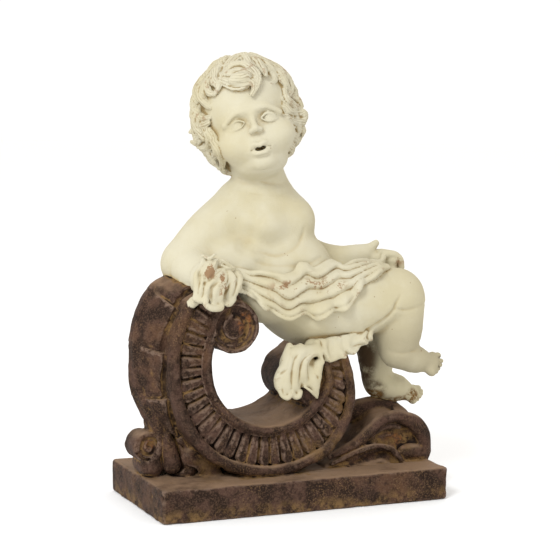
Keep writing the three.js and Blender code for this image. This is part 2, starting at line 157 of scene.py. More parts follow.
class Clay:
    """A block of space with one array of distances for each layer of the modelling."""

    def __init__(self, low, high, grain):
        self.low, self.grain = np.array(low, np.float32), grain
        self.counts = np.ceil((np.array(high) - np.array(low)) / grain).astype(int) + 1
        self.axes = [self.low[i] + grain * np.arange(self.counts[i], dtype=np.float32) for i in range(3)]
        self.layers = {name: np.full(self.counts, FAR, np.float32) for name in LAYERS}

    def window(self, low, high):
        spans = []
        for i in range(3):
            first = max(int((low[i] - self.low[i]) / self.grain), 0)
            last = min(int((high[i] - self.low[i]) / self.grain) + 2, self.counts[i])
            spans.append(slice(first, max(last, first)))
        x, y, z = (self.axes[i][spans[i]] for i in range(3))
        return tuple(spans), (x[:, None, None], y[None, :, None], z[None, None, :])

    def join(self, layer, where, distance, blend, carve):
        """Presses distances onto a layer, or carves them out of it."""
        block = self.layers[layer]
        if carve:
            block[where] = soft_max(block[where], -distance, blend)
        else:
            block[where] = soft_min(block[where], distance, blend)

    def add(self, layer, low, high, distance, blend=0, carve=False):
        """A form of its own, as a distance from each place between two corners."""
        where, at = self.window(low, high)
        self.join(layer, where, distance(*at), blend, carve)

    def tools(self, layer):
        """The limb, stroke and ball tools for one layer."""
        return (partial(tool, layer) for tool in (self.limb, self.stroke, self.ball))

    def ball(self, layer, centre, radii, turn=None, blend=0, carve=False):
        """An ellipsoid. The rows of turn are its own axes."""
        c, r = np.array(centre, np.float32), np.array(radii, np.float32)
        axes = np.eye(3, dtype=np.float32) if turn is None else np.array(turn, np.float32)
        reach = r.max() + blend + 3

        def distance(x, y, z):
            near = far = 0
            for axis, radius in zip(axes, r):
                q = ((x - c[0]) * axis[0] + (y - c[1]) * axis[1] + (z - c[2]) * axis[2]) / radius
                near = near + q * q
                far = far + (q / radius) ** 2
            near = np.sqrt(near)
            return near * (near - 1) / np.sqrt(far + 1e-9)

        self.add(layer, c - reach, c + reach, distance, blend, carve)

    def limb(self, layer, points, radii, blend=0):
        """A round-ended limb along a smooth line, with a radius at each of its points."""
        p = curve(points, LIMB_STEPS).astype(np.float32)
        r = spread(radii, LIMB_STEPS).astype(np.float32)
        reach = r.max() + blend + 3

        def distance(x, y, z):
            d = FAR
            for a, b, ra, rb in zip(p, p[1:], r, r[1:]):
                along = b - a
                t = ((x - a[0]) * along[0] + (y - a[1]) * along[1] + (z - a[2]) * along[2]) / (along @ along)
                t = np.clip(t, 0, 1)
                off = (x - a[0] - t * along[0]) ** 2 + (y - a[1] - t * along[1]) ** 2
                off = off + (z - a[2] - t * along[2]) ** 2
                d = np.minimum(d, np.sqrt(off) - (ra + t * (rb - ra)))
            return d

        self.add(layer, p.min(0) - reach, p.max(0) + reach, distance, blend)

    def dabs(self, layer, points, radii, blend=0, carve=False):
        """Small balls of clay side by side, for strands, hems and sheets."""
        points, radii = np.asarray(points, float), np.broadcast_to(radii, len(points))
        reach = float(np.max(radii)) + blend + 2
        where, (x, y, z) = self.window(points.min(0) - reach, points.max(0) + reach)
        local = np.full((x.size, y.size, z.size), FAR, np.float32)
        first = np.array([x.flat[0], y.flat[0], z.flat[0]])
        for p, r in zip(points, radii):
            edge = r + blend + 2
            low = np.maximum(((p - edge - first) / self.grain).astype(int), 0)
            high = ((p + edge - first) / self.grain).astype(int) + 2
            i, j, k = (slice(low[n], max(high[n], low[n])) for n in range(3))
            d = (x[i] - p[0]) ** 2 + (y[:, j] - p[1]) ** 2 + (z[:, :, k] - p[2]) ** 2
            part = local[i, j, k]
            np.minimum(part, np.sqrt(d) - r, out=part)
        self.join(layer, where, local, blend, carve)

    def stroke(self, layer, points, radii, blend=0, carve=False, rest=None, height=0.0):
        """A line of dabs along a smooth line, laid at a height on the layer named by rest."""
        length = np.linalg.norm(np.diff(np.array(points, float), axis=0), axis=1).sum()
        count = max(int(length / 0.9), 6)
        line = curve(points, count)
        if rest:
            line = self.settle(rest, line, np.full(count, height))
        self.dabs(layer, line, spread(np.atleast_1d(radii), count), blend, carve)

    def sample(self, array, points):
        """The array's values at places in the block, between its grains."""
        at = (np.asarray(points) - self.low) / self.grain
        at = np.clip(at, 0, np.array(array.shape) - 1.001)
        k = at.astype(int)
        t = at - k
        value = 0
        for corner in np.ndindex(2, 2, 2):
            weight = np.prod([t[:, n] if corner[n] else 1 - t[:, n] for n in range(3)], axis=0)
            value = value + weight * array[k[:, 0] + corner[0], k[:, 1] + corner[1], k[:, 2] + corner[2]]
        return value

    def settle(self, layer, points, heights):
        """Moves places so that they lie at those heights over the layer's surface."""
        array, points = self.layers[layer], np.array(points, float)
        step = 1.5
        for _ in range(SETTLING_ROUNDS):
            here = self.sample(array, points)
            ahead, behind = ([self.sample(array, points + s * e) for e in np.eye(3)] for s in (step, -step))
            slope = np.stack(ahead, 1) - np.stack(behind, 1)
            length = np.linalg.norm(slope, axis=1, keepdims=True)
            move = np.clip(heights - here, -6, 6)[:, None] * slope / np.maximum(length, 0.3)
            points = points + move
        return points

    def roughen(self, layer, size, depth):
        """Small dents and swellings all over a layer, about that size and depth."""
        span = self.grain * (self.counts - 1)
        value = rng.standard_normal((span / size).astype(int) + 2).astype(np.float32)
        for axis in range(3):
            at = np.arange(self.counts[axis]) * self.grain / size
            k = np.minimum(at.astype(int), value.shape[axis] - 2)
            t = (at - k).astype(np.float32)
            t = (t * t * (3 - 2 * t)).reshape([-1 if n == axis else 1 for n in range(3)])
            value = np.take(value, k, axis) * (1 - t) + np.take(value, k + 1, axis) * t
        self.layers[layer] += depth * value


# Plinth, scroll and leaves


def press_plinth(clay):
    half = np.array([PLINTH[0], PLINTH[1], PLINTH[2] / 2]) - PLINTH_EDGE

    def distance(x, y, z):
        qx, qy, qz = np.abs(x) - half[0], np.abs(y) - half[1], np.abs(z - PLINTH[2] / 2) - half[2]
        outside = np.sqrt(np.maximum(qx, 0) ** 2 + np.maximum(qy, 0) ** 2 + np.maximum(qz, 0) ** 2)
        return outside + np.minimum(np.maximum(np.maximum(qx, qy), qz), 0) - PLINTH_EDGE

    clay.add("base", (-165, -84, -4), (165, 84, 46), distance)


def scroll_place(x, z):
    """Radius and angle about the scroll's middle, and the band's inner and outer radius there."""
    radius = np.hypot(x - SCROLL_CENTRE[0], z - SCROLL_CENTRE[1])
    angle = np.degrees(np.arctan2(z - SCROLL_CENTRE[1], x - SCROLL_CENTRE[0]))
    angle = np.where(angle < 60, angle + 360, angle)
    inner = np.interp(angle, INNER_ANGLES, INNER_RADII).astype(np.float32)
    outer = np.interp(angle, OUTER_ANGLES, OUTER_RADII).astype(np.float32)
    return radius, angle, inner, outer


def past_ends(angle, radius, ends):
    """How far a place lies beyond the ends of an arc."""
    return np.maximum(ends[0] - angle, angle - ends[1]) * np.pi / 180 * radius


def press_scroll(clay):
    """The band, its sunk channel with raised tongues, and the rolls along both rims."""
    low, high = (-152, -60, 26), (90, 60, 262)

    def band(x, y, z):
        r, a, inner, outer = scroll_place(x, z)
        ring = np.maximum(soft_max(inner - r, r - outer, 4), past_ends(a, r, SCROLL_ENDS))
        return soft_max(ring, np.abs(y) - SCROLL_HALF, 5)

    def channel(x, y, z):
        r, a, inner, outer = scroll_place(x, z)
        low_edge, high_edge = inner + 9, outer - 10.5
        walls = np.abs(r - (low_edge + high_edge) / 2) - (high_edge - low_edge) / 2
        return soft_max(walls, np.abs(np.abs(y) - SCROLL_HALF) - 8, 2)

    def tongues(x, y, z):
        """Tongues in pairs: the groove between two pairs runs out to the rim, the one inside a pair fades."""
        r, a, inner, outer = scroll_place(x, z)
        pair = np.mod((a - TONGUE_START) / (2 * TONGUE_PITCH), 1) * 2 - 1
        half = np.radians(TONGUE_PITCH) * r
        reach = (r - inner - 9.5) / (outer - inner - 20)
        deep = 4.6 * np.exp(-(((1 - np.abs(pair)) * half / 1.5) ** 2))
        fading = (3.6 - 2.8 * smooth(reach, 0.3, 0.8)) * np.exp(-((pair * half / 1.3) ** 2))
        bowed = 1.2 * (2 * np.abs(np.abs(pair) - 0.5)) ** 2 + 1.4 * np.exp(-(((r - inner - 13) / 5) ** 2))
        crown = np.abs(y) - (SCROLL_HALF - 1.2 - deep - fading - bowed)
        rounded = 5 * np.abs(pair) ** 4 + 1.6 * np.exp(-((pair * half / 2.2) ** 2))
        sides = np.maximum(inner + 9.5 - r, soft_max(r - outer + 10.5 + rounded, crown, 2.5))
        return np.maximum(np.maximum(crown, sides), past_ends(a, r, SCROLL_ENDS))

    def rims(x, y, z):
        r, a, inner, outer = scroll_place(x, z)
        side = np.abs(y)
        thick = np.clip((outer - inner) / 8, 1.5, 5.6)
        roll = np.hypot(r - (outer - thick), side - SCROLL_HALF + 2.4) - thick
        lip = np.hypot(r - (inner + 4.2), side - SCROLL_HALF + 2) - 4.2
        bead = np.hypot(r - (inner + 9.6), side - SCROLL_HALF + 2.6) - 1.4
        return np.maximum(np.minimum(np.minimum(roll, lip), bead), past_ends(a, r, SCROLL_ENDS))

    clay.add("base", low, high, band, 3)
    press_volute(clay, RIGHT_VOLUTE, 48)
    clay.add("base", low, high, channel, 1.5, carve=True)
    clay.add("base", low, high, tongues, 0.6)
    clay.add("base", low, high, rims, 1.0)


def press_volute(clay, place, half, eye=0, groove=0):
    """A roll across the scroll. A groove winds in to a raised eye at both ends."""
    cx, cz, radius = place
    low = (cx - radius - 6, -half - 6, cz - radius - 6)
    high = (cx + radius + 6, half + 6, cz + radius + 6)

    def roll(x, y, z):
        return soft_max(np.hypot(x - cx, z - cz) - radius, np.abs(y) - half, VOLUTE_EDGE)

    def winding(x, y, z):
        r = np.hypot(x - cx, z - cz)
        turn = np.mod(np.degrees(np.arctan2(z - cz, x - cx)) - 200, 360)
        d = FAR
        for lap in range(2):
            wound = (turn + 360 * lap) / 620
            path = radius * (0.82 - (0.82 - max(eye, 0.12) - 0.14) * wound)
            wide = groove * (0.75 + 0.5 * wound)
            d = np.minimum(d, np.where(wound <= 1, np.hypot(r - path, np.abs(y) - half) - wide, FAR))
        return d

    clay.add("base", low, high, roll, 2)
    if groove:
        clay.add("base", low, high, winding, 1, carve=True)
    for side in (-1, 1) if eye else ():
        clay.ball("base", (cx, side * (half - 2), cz), (eye * radius, 4, eye * radius), blend=0.8)


def leaf_place(x, y, z):
    """Radius, angle and rim there, how far down leaf and lobe a place lies, and the leaf's half-width.

    Each lobe narrows towards its tip and the next one starts wide again.
    """
    r, a, inner, outer = scroll_place(x, z)
    down = (a - LEAF_ANGLES[0]) / (LEAF_ANGLES[1] - LEAF_ANGLES[0])
    slanted = down - 0.022 * np.abs(y) / 30
    lobe = np.mod(slanted * LEAF_LOBES + 0.2, 1)
    width = (37.5 - 7 * smooth(lobe, 0.05, 0.95)) * (1 - 0.36 * smooth(slanted, 0.6, 1))
    return r, a, outer, down, lobe, width


def press_side_leaf(clay):
    """The long leaf on the scroll's back, in lapped lobes that curl out at their foot."""
    low, high = (-172, -46, 40), (-66, 46, 252)
    limb, stroke, ball = clay.tools("base")

    def leaf(x, y, z):
        r, a, outer, down, lobe, width = leaf_place(x, y, z)
        across = np.clip(np.abs(y) / width, 0, 1)
        crown = 19 * (1 - across**1.5) * (1 - 0.5 * smooth(down, 0.55, 1))
        crown = crown * (0.5 + 0.5 * smooth(down, 0, 0.25))
        lap = 0.9 * smooth(lobe, 0.1, 0.95) - 0.5
        veins = 0.35 * np.cos(y * 0.55 + 9 * down)
        d = soft_max(r - (outer + 5 + crown + lap + veins), np.abs(y) - width, 2.5)
        return np.maximum(np.maximum(d, outer - 9 - r), past_ends(a, r, LEAF_ANGLES))

    def gap(x, y, z):
        r, a, outer, _, _, width = leaf_place(x, y, z)
        d = np.hypot(np.abs(y) - width - 1.8, r - outer - 0.5) - 3.2
        return np.maximum(d, past_ends(a, r, (LEAF_ANGLES[0], LEAF_ANGLES[1] - 16)))

    clay.add("base", low, high, leaf, 1.2)
    clay.add("base", low, high, gap, 0.8, carve=True)
    for y in np.linspace(-14, 14, 8):
        limb([(-140, y, 98), (-136, y, 80), (-136, y, 64), (-140, y, 52)], (4, 5, 6, 6), 4)
    limb([(-142, -10, 43), (-142, 10, 43)], (12, 12), 2)
    press_volute(clay, LEAF_ROLL, 16, groove=2.4)
    for side in (-1, 1):
        ball((LEAF_ROLL[0] + 2, side * 17, LEAF_ROLL[1] + 3), (5.5, 4, 4.5), blend=1, carve=True)
    for y in np.linspace(-24, 24, 7):
        limb([(-108, y, 52), (-96, y, 42), (-80, y, 34)], (9, 9, 6), 5)
    for side in (-1, 1):
        core = [(-126, side * 8, 84), (-116, side * 10, 58), (-108, side * 12, 36)]
        limb(core, (6, 12, 14), 1.2)
        husks = [
            ([(-104, 19, 52), (-97, 21, 43), (-92, 21, 36)], (1.2, 4.5, 6)),
            ([(-118, 18, 66), (-111, 20, 52), (-106, 20, 40)], (1.2, 6, 8)),
            ([(-130, 16, 82), (-127, 18, 64), (-123, 19, 44)], (2, 7, 9)),
        ]
        for line, radii in husks:
            line, radii = np.array(line) * (1, side, 1), np.array(radii)
            stroke(line + (2.2, side * 1.5, 0), radii * 0.85 + 0.8, 0.8, carve=True)
            stroke(line, radii, 0.5)


def press_wave_leaf(clay):
    """The leaf under the far foot. It swells to a crest and curls over at its right-hand end."""
    _, stroke, ball = clay.tools("base")
    half = 38.0
    ridge = curve([(34, 36), (56, 48), (75, 62), (90, 75), (103, 84), (116, 86), (127, 82)], 60)

    def body(x, y, z):
        top = np.interp(x, ridge[:, 0], ridge[:, 1] - 2, left=20, right=20)
        tip = (np.hypot((x - 127) / 31, (z - 50) / 33) - 1) * 31
        d = np.where(x > 127, tip, (z - top) * 0.72)
        return np.maximum(soft_max(d, np.abs(y) - half, 5), 28 - z)

    clay.add("base", (30, -48, 26), (166, 48, 94), body, 2)
    stroke([(62, 4, 66), (82, 5, 80), (102, 6, 86), (124, 4, 85), (140, 0, 76)], (6, 9, 9, 9, 7), 6)
    for side in (-1, 1):

        def at(*points):
            return [(x, side * y, z) for x, y, z in points]

        pocket = at((84, 38, 54), (98, 37, 64), (112, 36, 67), (124, 36, 62), (134, 36, 54))
        stroke(pocket, (4, 8, 9.5, 10, 8), 1.5, carve=True)
        stroke(at((100, 37, 56), (116, 36, 55), (124, 36, 50)), (7, 9, 8), 1.5, carve=True)
        below = at((60, 40, 34), (84, 39, 39), (100, 39, 41), (112, 39, 37), (118, 39, 32))
        stroke(below, (2, 5, 6, 6, 4), 1.2, carve=True)
        main = at(
            (40, 36, 44), (62, 36, 53), (78, 36, 62), (92, 36, 74),
            (104, 36, 80), (116, 35, 81), (130, 34, 76),
        )
        stroke(main, (3, 4.5, 5.5, 6, 6, 6, 6.5), 1.0)
        hook = at((130, 34, 76), (141, 33, 68), (148, 32, 57), (149, 32, 46), (142, 33, 39))
        stroke(hook, (6.5, 7.5, 8, 8, 7), 1.5)
        ledge = at((84, 33, 58), (98, 32, 68), (110, 31, 71), (122, 30, 68))
        stroke(ledge, (1.5, 3.5, 3.5, 2), 1.0)
        ball((134, side * 34, 43), (15, 8.5, 8), blend=1.2)
        lower = at(
            (42, 38, 37), (66, 38, 46), (84, 38, 51), (98, 38, 51),
            (109, 38, 47), (117, 38, 40), (123, 37, 33),
        )
        stroke(lower, (2, 2.8, 3.0, 3.0, 3.0, 2.8, 2.4), 0.8)
        groove = at((54, 39, 60), (70, 38, 71), (82, 35, 81), (94, 32, 88), (106, 28, 91), (116, 24, 92))
        stroke(groove, (2.5, 3.4, 3.6, 3.4, 2.8, 1.5), 1.0, carve=True)


# The child


def press_torso(clay):
    limb, stroke, ball = clay.tools("body")
    forms = [
        ((25, 2, 199), (50, 46, 42), 0),
        ((4, -5, 236), (45, 39, 36), 14),
        ((-12, 3, 277), (43, 36, 41), 14),
        ((-54, -14, 240), (36, 26, 27), 14),
        ((-28, -7, 279), (26, 31, 22), 9),
        ((5, -6, 283), (23, 27, 22), 9),
        ((0, -16, 230), (40, 30, 26), 10),
        ((-20, -18, 213), (46, 40, 33), 8),
    ]
    for centre, radii, blend in forms:
        ball(centre, radii, blend=blend)
    limb([(-42, 9, 298), (-18, 8, 300), (3, 13, 290)], (22, 24, 20), 12)
    limb([(-20, 7, 303), (-25, 4, 324), (-32, 1, 345)], (31, 26, 25), 9)
    under_chest = [
        (-52, -36, 262), (-38, -42, 256), (-20, -44, 254), (-4, -42, 259), (8, -38, 268), (10, -36, 276),
    ]
    stroke(under_chest, (0.6, 1.8, 2.4, 2.2, 1.4, 0.5), 3, carve=True, rest="body", height=0.7)
    waist = [(-44, -38, 244), (-22, -44, 241), (4, -44, 240), (24, -36, 246)]
    stroke(waist, (0.5, 1.8, 1.8, 0.5), 4, carve=True, rest="body", height=0.8)
    for neck_z, deep in ((322, 0.9), (311, 1.2)):
        ring = [(-56, -8, neck_z + 2), (-42, -26, neck_z), (-14, -26, neck_z - 2), (0, -8, neck_z)]
        stroke(ring, (0.5, 1.5, 1.5, 0.5), 3, carve=True, rest="body", height=deep)


def press_arms(clay):
    limb, stroke, ball = clay.tools("body")
    limb([(-44, 9, 294), (-75, 8, 267), (-101, 5, 241)], (27, 26.5, 24.5), 8)
    limb([(-101, 5, 239), (-98, -20, 232), (-87, -46, 227)], (24.5, 21, 16), 5)
    limb([(-3, 15, 284), (16, 23, 262), (38, 24, 246)], (24, 18.5, 16), 8)
    limb([(38, 24, 246), (66, 14, 239), (92, 2, 243)], (16, 15.5, 12), 6)
    limb([(84, 6, 243), (97, 2, 249), (106, 0, 257)], (11, 7, 3.6), 5)
    armpit = [(-36, -28, 290), (-48, -30, 274), (-58, -32, 256)]
    stroke(armpit, (2, 5, 4), 9, carve=True, rest="body", height=2.5)
    elbow = [(-116, -14, 252), (-122, -8, 238), (-120, -8, 226)]
    stroke(elbow, (0.4, 1.2, 0.4), 3, carve=True, rest="body", height=0.6)
    ball((110, -5, 240), (14, 13, 9), blend=4)
    ball((117, -8, 234), (9, 12, 8), blend=3)
    ball((117, -12, 240), (8, 10, 7), blend=2)
    for finger in range(4):
        y = -16 + 6.5 * finger
        bend = [(108, y, 246), (118, y - 1, 246), (125, y - 2, 241), (127, y - 2, 233)]
        limb(bend, (4.6, 4.4, 4.0, 3.6), 0.6)


def press_foot(clay, heel, middle, front, toes):
    """A foot from heel to toes. The toes lie side by side across its front, the big toe first."""
    clay.limb("body", [heel, middle, front], (13, 15, 7.5), 6)
    clay.limb("body", [np.array(toes[0]) - (6, 0, 1), np.array(toes[-1]) - (5, 0, 0)], (6, 5), 6)
    for toe, tip in enumerate(np.array(toes, float)):
        size = 4.2 if toe == 0 else 3.2 - 0.1 * toe
        root = tip + (np.array(front, float) - tip) * 0.5 - (7, 0, 0)
        clay.limb("body", [root, (root + tip) / 2 + (0, 0, 1), tip], (size, size * 0.9, size), 0.4)


def press_legs(clay):
    limb, stroke, ball = clay.tools("body")
    limb([(24, -18, 198), (66, -30, 200), (107, -38, 206)], (41, 37, 28), 12)
    ball((114, -38, 206), (25, 25, 25), blend=8)
    limb([(117, -38, 198), (114, -38, 172), (113, -39, 152)], (24, 25.5, 19), 4)
    near_toes = [(161, -38, 142), (163, -42, 137), (160, -45, 133.5), (156, -48, 130.5), (152, -51, 128)]
    press_foot(clay, (110, -41, 147), (130, -43, 141), (150, -44, 136), near_toes)
    limb([(40, 20, 200), (80, 18, 204), (114, 10, 206)], (37, 31, 25), 12)
    limb([(115, 10, 202), (112, 8, 158), (113, 6, 118)], (25, 22, 16), 6)
    far_toes = [(164, 8, 100), (165, 3, 98), (163, -1, 96), (159, -5, 94), (154, -9, 92)]
    press_foot(clay, (113, 5, 107), (132, 2, 104), (150, 0, 98), far_toes)
    creases = [
        ([(70, -62, 168), (80, -64, 178), (90, -64, 190), (96, -62, 201), (100, -58, 208)],
         (2.6, 2.6, 2.4, 1.8, 0.5), 0),
        ([(98, -60, 196), (112, -62, 195), (126, -58, 198), (136, -46, 199)], (1.6, 1.6, 1.4, 0.5), 0.7),
        ([(97, -52, 151), (110, -58, 149), (128, -54, 153)], (0.5, 1.6, 0.5), 0.6),
        ([(120, -60, 150), (134, -58, 152), (142, -52, 153)], (0.4, 1.0, 0.4), 0.6),
        ([(92, -10, 118), (104, -12, 116), (122, -8, 118)], (0.5, 1.5, 0.5), 0.6),
    ]
    for line, radii, height in creases:
        stroke(line, radii, 2.5, carve=True, rest="body", height=height)


# Head and hair


def head_axes():
    """The head's own axes: to the viewer's right, out of the face and up to the crown."""
    yaw, tilt, pitch = (math.radians(a) for a in (HEAD_YAW, HEAD_TILT, HEAD_PITCH))
    turn = Matrix.Rotation(yaw, 3, "Z") @ Matrix.Rotation(-tilt, 3, "Y") @ Matrix.Rotation(-pitch, 3, "X")
    m = np.array(turn)
    return np.stack([m[:, 0], -m[:, 1], m[:, 2]])


HEAD_AXES = head_axes()


def on_head(points):
    return np.asarray(points, float) @ HEAD_AXES + np.array(HEAD_CENTRE)


def press_face(clay):
    def form(place, radii, blend, carve=False):
        clay.ball("body", on_head(place), radii, HEAD_AXES, blend, carve)

    def line(points, radii, blend, carve=False):
        clay.stroke("body", on_head(points), radii, blend, carve)

    form((-2, -4, 8), (43.5, 50, 50), 4)
    form((-1, 14, 20), (36.5, 35, 31), 8)
    form((-1, 12, -20), (35, 34, 30), 8)
    form((0, 12, -44), (24, 25, 13), 9)
    form((0, 33.5, -43), (12, 10, 8.5), 6)
    for side in (-1, 1):
        way = np.array((side, 1, 1))
        form(way * (20, 26, -20), (18, 17.5, 16), 8)
        form(way * (17, 52, -0.5), (10, 5.5, 6), 7, carve=True)
        brow = way * [(5, 47.6, 7), (15, 46.6, 7), (28, 39.2, -1)]
        line(brow, (2.0, 2.4, 2.0), 8)
        form(way * (15, 36.6, -3.6), (8.6, 8.4, 7.4), 1.2)
        upper_lid = way * [(24, 39.6, -6.5), (19.5, 43.8, -1.4), (14.5, 45.6, 0.2), (8.5, 46.4, -2.6)]
        line(upper_lid, (0.8, 1.4, 1.5, 0.9), 0.8)
        line(way * [(23.5, 41.6, -1), (15, 47.0, 3), (9, 48.0, 1.6)], (0.5, 1.1, 0.5), 1, carve=True)
        lower_lid = way * [(24, 39.6, -7), (18.5, 43.4, -8), (13, 45.0, -7.2), (8.5, 46.2, -4)]
        line(lower_lid, (0.7, 1.0, 1.0, 0.7), 0.9)
    line([(0, 46.0, 4), (0, 48.2, -4), (0, 52.0, -11.5)], (2.0, 2.2, 3.7), 5)
    for side in (-1, 1):
        form((side * 4.2, 48.8, -13.2), (3.1, 3.8, 2.8), 2)
        form((side * 3.0, 52.4, -16.4), (1.8, 2.4, 1.5), 0.6, carve=True)
    form((0, 39, -29), (13.5, 9, 11.5), 6)
    line([(0, 50, -18.5), (0, 49.5, -23.5)], (0.8, 1.3), 2, carve=True)
    upper = [(-11, 41, -30.6), (-5.5, 47.2, -26.2), (0, 48.4, -27.6), (5.5, 47.2, -26.2), (11, 41, -30.6)]
    line(upper, (0.9, 2.6, 2.2, 2.6, 0.9), 1.0)
    line([(-8.5, 42, -33), (-4, 45.8, -35.4), (4, 45.8, -35.4), (8.5, 42, -33)], (0.9, 2.7, 2.7, 0.9), 1.0)
    form((0, 48, -31.2), (5.6, 12, 2.2), 0.6, carve=True)
    form((0, 47.6, -28.8), (2.6, 2.6, 1.7), 0.8)
    parting = [(-12, 42, -31.6), (-6, 46.8, -30.9), (6, 46.8, -30.9), (12, 42, -31.6)]
    line(parting, (0.4, 1.0, 1.0, 0.4), 0.7, carve=True)
    line([(-8, 43, -39), (0, 45.5, -39.8), (8, 43, -39)], (0.6, 2.0, 0.6), 3, carve=True)
    double_chin = [(-24, 26, -47), (-10, 34, -52.5), (10, 34, -52.5), (24, 26, -47)]
    line(double_chin, (0.6, 1.8, 1.8, 0.6), 3, carve=True)


# The middle line of every lock and the way across it
STRANDS = []


def lock(clay, line, width):
    """A lock of hair: strands side by side, arched over one line and drawn together at the tip."""
    count, strands, taper = 36, 6, 0.72
    axis = curve(line, count)
    way = np.gradient(axis, axis=0)
    way /= np.linalg.norm(way, axis=1, keepdims=True)
    side = np.cross(way, axis - np.array(HEAD_CENTRE))
    side /= np.linalg.norm(side, axis=1, keepdims=True)
    rise = np.cross(side, way)
    STRANDS.append((axis, side))
    t = np.linspace(0, 1, count)
    half = width * (0.7 + 0.3 * np.sin(np.pi * np.clip(t * 1.15, 0, 1))) * (1 - taper * t**2.6)
    points, radii = [], []
    for off in np.linspace(-1, 1, strands):
        sway = off + 0.12 * np.sin(2 * np.pi * t * 1.3 + 4 * off + rng.uniform(0, 3))
        arch = 0.62 * (1 - off * off) + rng.uniform(-0.04, 0.10)
        points.append(axis + side * (sway * half)[:, None] + rise * (arch * half)[:, None])
        radii.append(np.maximum(half / strands * 1.9, 1.2))
    points.append(axis - rise * (half * 0.35)[:, None])
    radii.append(half)
    clay.dabs("hair", np.concatenate(points), np.concatenate(radii), 0.7)


def scalp_line(azimuth, elevation, length, sway, flick):
    """A wavy line that starts on the scalp, runs down along it and turns out at its tip."""
    a, e = math.radians(azimuth), math.radians(elevation)
    line = []
    for t in np.linspace(0, 1, 8):
        turn = a + (10 * t * t + 2.4 * sway * math.sin(2.0 * math.pi * t)) / (46 * max(math.cos(e), 0.4))
        lean = e - t * length / 54
        out = np.array([math.cos(lean) * math.sin(turn), math.cos(lean) * math.cos(turn), math.sin(lean)])
        swell = 1.0 + 0.07 * math.sin(math.pi * t) + flick * t**3
        line.append(out * SCALP * swell + np.array([-2, -5, 5]))
    return on_head(line)


